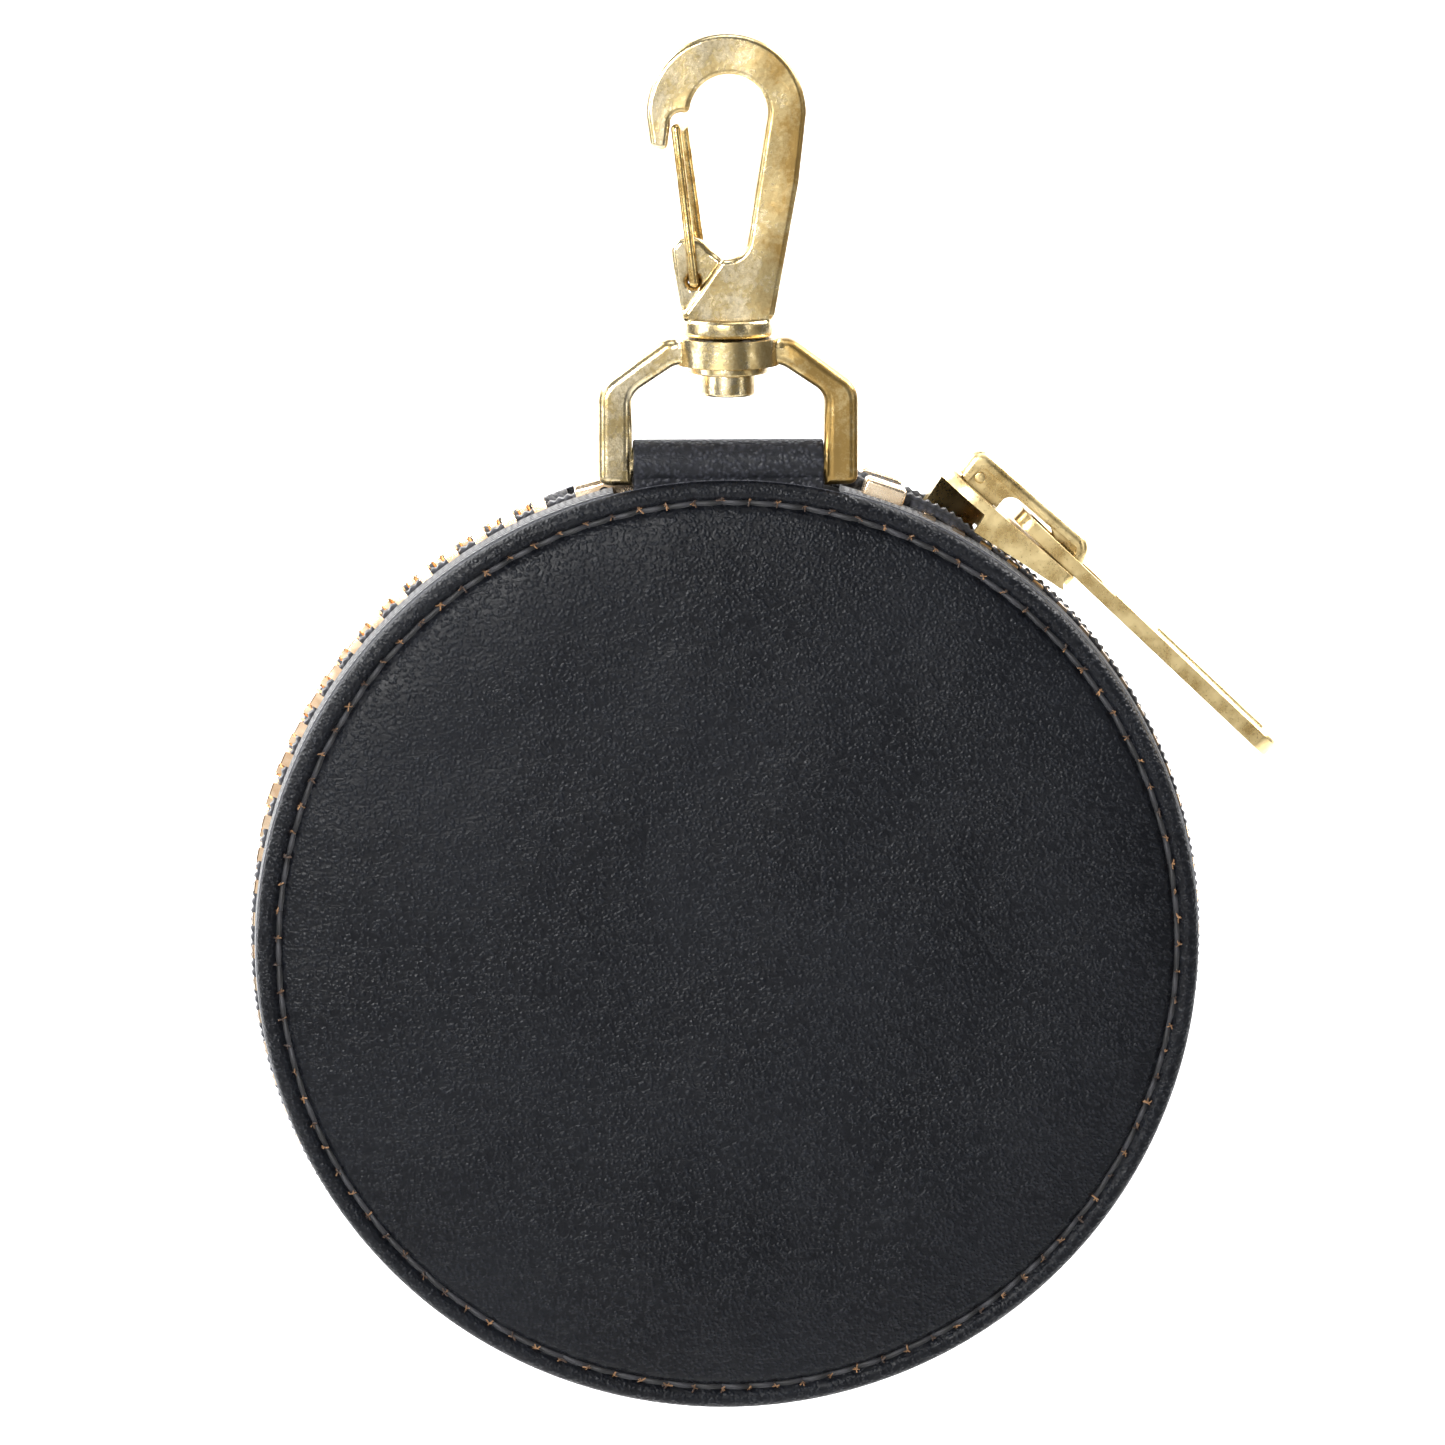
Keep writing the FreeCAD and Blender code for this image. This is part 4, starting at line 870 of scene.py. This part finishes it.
class PURSE_OT_zip_teeth(bpy.types.Operator):
    """Set both rows of teeth round the edge"""
    bl_idname = "purse.zip_teeth"
    bl_label = "Zip Teeth"

    def execute(self, context):
        looks = bpy.context.scene.zip_sizes
        plate = plated_gold("Rose Gold Plated Brass", looks.tooth_bright, paint("#efc9a2"), (0.1, 0.22))
        tree = tooth_tree()
        for side, forward in (("front", -1.0), ("back", 1.0)):
            tooth = self.tooth(forward, looks)
            row = grow(f"{side}_tooth_row", tree, f"{side}_shell", "zip_brass", Count=TEETH,
                       Start=FIRST_TOOTH[side], Step=TOOTH_STEP, Radius=self.row_radius(side),
                       Splay_Start=SPLAY_START, Splay_Full=SPLAY_FULL, Splay=2.75 * MM, Side=forward,
                       Rise=0.62 * MM, Middle=tuple(CENTRE), Tooth=tooth, Material=plate)
            bpy.data.objects.remove(tooth)
            row.data.set_sharp_from_angle(angle=math.radians(40))
            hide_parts(f"{side}_teeth")
        return {"FINISHED"}

    def row_radius(self, side):
        """Radius of the row's middle line, a little in from the teeth's tops."""
        low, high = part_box(f"{side}_teeth")
        return (high.x - low.x) / 2 - 1.15 * MM

    def tooth(self, forward, looks):
        """One tooth at the top of the edge: clamped root, narrow neck and rounded head."""
        wide = looks.tooth_wide / 2
        plan = [(wide, 3.4), (wide, 2.0), (wide * 0.78, 1.3), (wide * 0.78, 0.6), (wide * 0.98, 0.2),
                (wide * 0.9, -0.6), (wide * 0.5, -0.9)]
        points = [(x, forward * y * MM) for x, y in plan]
        points += [(-x, y) for x, y in reversed(points)]
        work = bmesh.new()
        ring = [work.verts.new((x, y, -1.5 * MM)) for x, y in points]
        base = work.faces.new(ring)
        top = bmesh.ops.extrude_face_region(work, geom=[base])["geom"]
        bmesh.ops.translate(work, verts=[v for v in top if isinstance(v, bmesh.types.BMVert)], vec=(0, 0, 2.25 * MM))
        bmesh.ops.recalc_face_normals(work, faces=work.faces)
        rim = [edge for edge in work.edges if min(v.co.z for v in edge.verts) > 0]
        bmesh.ops.bevel(work, geom=rim, offset=0.2 * MM, segments=2, affect="EDGES", profile=0.6)
        mesh = bpy.data.meshes.new("tooth_pattern")
        work.to_mesh(mesh)
        work.free()
        pattern = bpy.data.objects.new("tooth_pattern", mesh)
        bpy.context.scene.collection.objects.link(pattern)
        return pattern


class PURSE_OT_zip_hardware(bpy.types.Operator):
    """Finish the slider, its cap, the puller and the stops"""
    bl_idname = "purse.zip_hardware"
    bl_label = "Slider, Puller and Stops"

    def execute(self, context):
        looks = bpy.context.scene.zip_sizes
        satin = plated_gold("Satin Gold Plated Zinc", looks.slider_bright, paint("#c9aa6e"), (0.24, 0.42))
        bright = plated_gold("Bright Gold Plated Brass", paint("#ffe8c8"), paint("#f4d3aa"), (0.2, 0.32))
        for node, width in (("slider_body", 0.28), ("slider_cap", 0.3), ("puller", 0.3), ("cap_pin", 0.12)):
            softened_copy(node, satin, width * MM)
        for node in ("top_stop_front", "top_stop_back", "bottom_stop"):
            softened_copy(node, bright, 0.3 * MM)
        steel = plated_gold("Blued Spring Steel", paint("#8f9296"), paint("#5f6266"), (0.25, 0.4))
        softened_copy("lock_spring", steel, 0.05 * MM)
        return {"FINISHED"}


class PURSE_OT_hook_and_ring(bpy.types.Operator):
    """Finish the swivel hook, its wire gate and the ring"""
    bl_idname = "purse.hook_and_ring"
    bl_label = "Hook and Ring"

    def execute(self, context):
        looks = bpy.context.scene.hook_sizes
        # The hook, ring and swivel brass gets a painted shade that darkens everything right of the middle.
        brass = cast_brass("Antiqued Cast Brass With Painted Shade", looks.bright, looks.dull, looks.shade, painted_right_shade=0.2)
        wire = cast_brass("Drawn Brass Wire", paint("#e8d39a"), paint("#b8975a"), paint("#6e5228"), 0.8, (0.18, 0.34))
        softened_copy("hook_body", brass, looks.round, 4, clamp=False)
        softened_copy("d_ring", brass, 0.3 * MM)
        softened_copy("swivel_stem", brass, 0.25 * MM)
        softened_copy("swivel_washer", brass, 0.12 * MM)
        softened_copy("gate_wire", wire, 0.1 * MM, 2, 50)
        return {"FINISHED"}


class PURSE_OT_leather_straps(bpy.types.Operator):
    """Cut the ring's tab and the hinge strip from leather"""
    bl_idname = "purse.leather_straps"
    bl_label = "Tab and Hinge Strip"

    def execute(self, context):
        strap = pebbled_calf("Skived Strap Leather", paint("#131417"), paint("#303137"), 0.5, (0.34, 0.52))
        softened_copy("tab_loop", strap, 0.25 * MM, 3, 40)
        strip = softened_copy("hinge_strip", strap, 0.14 * MM, 2, 40, rigid=False)
        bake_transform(strip)
        return {"FINISHED"}


class PURSE_OT_stage(bpy.types.Operator):
    """Set the pale floor and backdrop, the soft lights and the camera"""
    bl_idname = "purse.stage"
    bl_label = "Stage"

    def execute(self, context):
        self.backdrop()
        self.lights(context)
        self.camera(context)
        return {"FINISHED"}

    def backdrop(self):
        """A sweep of white paper: floor, curved corner and wall."""
        floor, wall, bend = -0.6, 0.9, 0.35
        profile = [(-1.6, floor), (-0.6, floor), (wall - bend, floor)]
        for i in range(1, 9):
            angle = math.pi / 2 * i / 8
            profile.append((wall - bend + bend * math.sin(angle), floor + bend * (1 - math.cos(angle))))
        profile += [(wall, 0.5), (wall, 1.6)]
        rows = [[(x, y, z) for y, z in profile] for x in (-2.0, -0.7, 0.7, 2.0)]
        mesh = grid_mesh("studio_backdrop", rows)
        mesh.materials.append(studio_paper("White Studio Paper", paint("#f4f4f4")))
        mesh.shade_smooth()
        sweep = bpy.data.objects.new("studio_backdrop", mesh)
        bpy.context.scene.collection.objects.link(sweep)

    def lights(self, context):
        """Soft boxes: a small close key ahead, dim cards ahead and low, one at each side, one above, and
        two that light the paper. Each is a name, place, size in metres, power in watts and target."""
        boxes = (("key_box", (-0.13, -0.35, 0.06), (0.09, 0.07), 1.9, CENTRE),
                 ("front_card", (-0.25, -1.25, -0.05), (0.9, 0.6), 1.15, CENTRE),
                 ("low_card", (-0.1, -1.25, -0.55), (1.0, 0.5), 0.6, CENTRE),
                 ("left_card", (-0.85, -0.3, 0.12), (0.4, 0.7), 4.2, CENTRE),
                 ("right_strip", (0.7, -0.45, 0.1), (0.15, 0.6), 1.0, CENTRE),
                 ("top_box", (0.1, -0.15, 0.6), (0.5, 0.3), 1.6, CENTRE),
                 ("paper_left", (-0.95, 0.3, 0.75), (0.6, 0.6), 36.0, Vector((0, 0.95, -0.05))),
                 ("paper_right", (0.95, 0.3, 0.75), (0.6, 0.6), 36.0, Vector((0, 0.95, -0.05))))
        for name, place, size, power, target in boxes:
            lamp = bpy.data.lights.new(name, "AREA")
            lamp.shape = "RECTANGLE"
            lamp.size, lamp.size_y = size
            lamp.energy = power
            light = bpy.data.objects.new(name, lamp)
            light.location = place
            light.rotation_euler = (target - Vector(place)).to_track_quat("-Z", "Y").to_euler()
            context.scene.collection.objects.link(light)
        world = bpy.data.worlds.new("Dim Studio")
        world.use_nodes = True
        world.node_tree.nodes["Background"].inputs["Color"].default_value = paint("#e8ecf2")
        world.node_tree.nodes["Background"].inputs["Strength"].default_value = 0.16
        context.scene.world = world
        context.scene.view_settings.view_transform = "Standard"

    def camera(self, context):
        """A long lens a little above and to the left of straight ahead."""
        lens, sensor, view_width = 200.0, 36.0, 148.969072 * MM
        distance = view_width * lens / sensor
        across, up = math.radians(-2.5), math.radians(9.0)
        aim = Vector((CENTRE.x - 0.29 * MM, CENTRE.y, CENTRE.z + 22.15 * MM))
        away = Vector((math.sin(across) * math.cos(up), -math.cos(across) * math.cos(up), math.sin(up)))
        data = bpy.data.cameras.new("camera")
        data.lens, data.sensor_width = lens, sensor
        data.clip_start, data.clip_end = 0.01, 10.0
        camera = bpy.data.objects.new("camera", data)
        camera.location = aim + away * distance
        camera.rotation_euler = (-away).to_track_quat("-Z", "Y").to_euler()
        context.scene.collection.objects.link(camera)
        context.scene.camera = camera


OPERATORS = (PURSE_OT_leather_faces, PURSE_OT_seams, PURSE_OT_linings, PURSE_OT_zip_tapes, PURSE_OT_zip_teeth,
             PURSE_OT_zip_hardware, PURSE_OT_hook_and_ring, PURSE_OT_leather_straps, PURSE_OT_stage)
GROUPS = {"leather_sizes": LeatherSizes, "zip_sizes": ZipSizes, "hook_sizes": HookSizes}


class PURSE_PT_panel(bpy.types.Panel):
    """Lists the purse's pieces in the sidebar"""
    bl_idname = "PURSE_PT_panel"
    bl_label = "Leather Coin Purse"
    bl_space_type = "VIEW_3D"
    bl_region_type = "UI"
    bl_category = "Purse"

    def draw(self, context):
        for operator in OPERATORS:
            self.layout.operator(operator.bl_idname)
        for name, group in GROUPS.items():
            box = self.layout.box()
            for field in group.__annotations__:
                box.prop(getattr(context.scene, name), field)


def register():
    for item in (*GROUPS.values(), *OPERATORS, PURSE_PT_panel):
        bpy.utils.register_class(item)
    for name, group in GROUPS.items():
        setattr(bpy.types.Scene, name, bpy.props.PointerProperty(type=group))


def unregister():
    for name in GROUPS:
        delattr(bpy.types.Scene, name)
    for item in (PURSE_PT_panel, *reversed(OPERATORS), *reversed(tuple(GROUPS.values()))):
        bpy.utils.unregister_class(item)


def main():
    register()
    bpy.ops.purse.leather_faces()
    bpy.ops.purse.seams()
    bpy.ops.purse.linings()
    bpy.ops.purse.zip_tapes()
    bpy.ops.purse.zip_teeth()
    bpy.ops.purse.zip_hardware()
    bpy.ops.purse.hook_and_ring()
    bpy.ops.purse.leather_straps()
    bpy.ops.purse.stage()


if __name__ == "__main__":
    main()
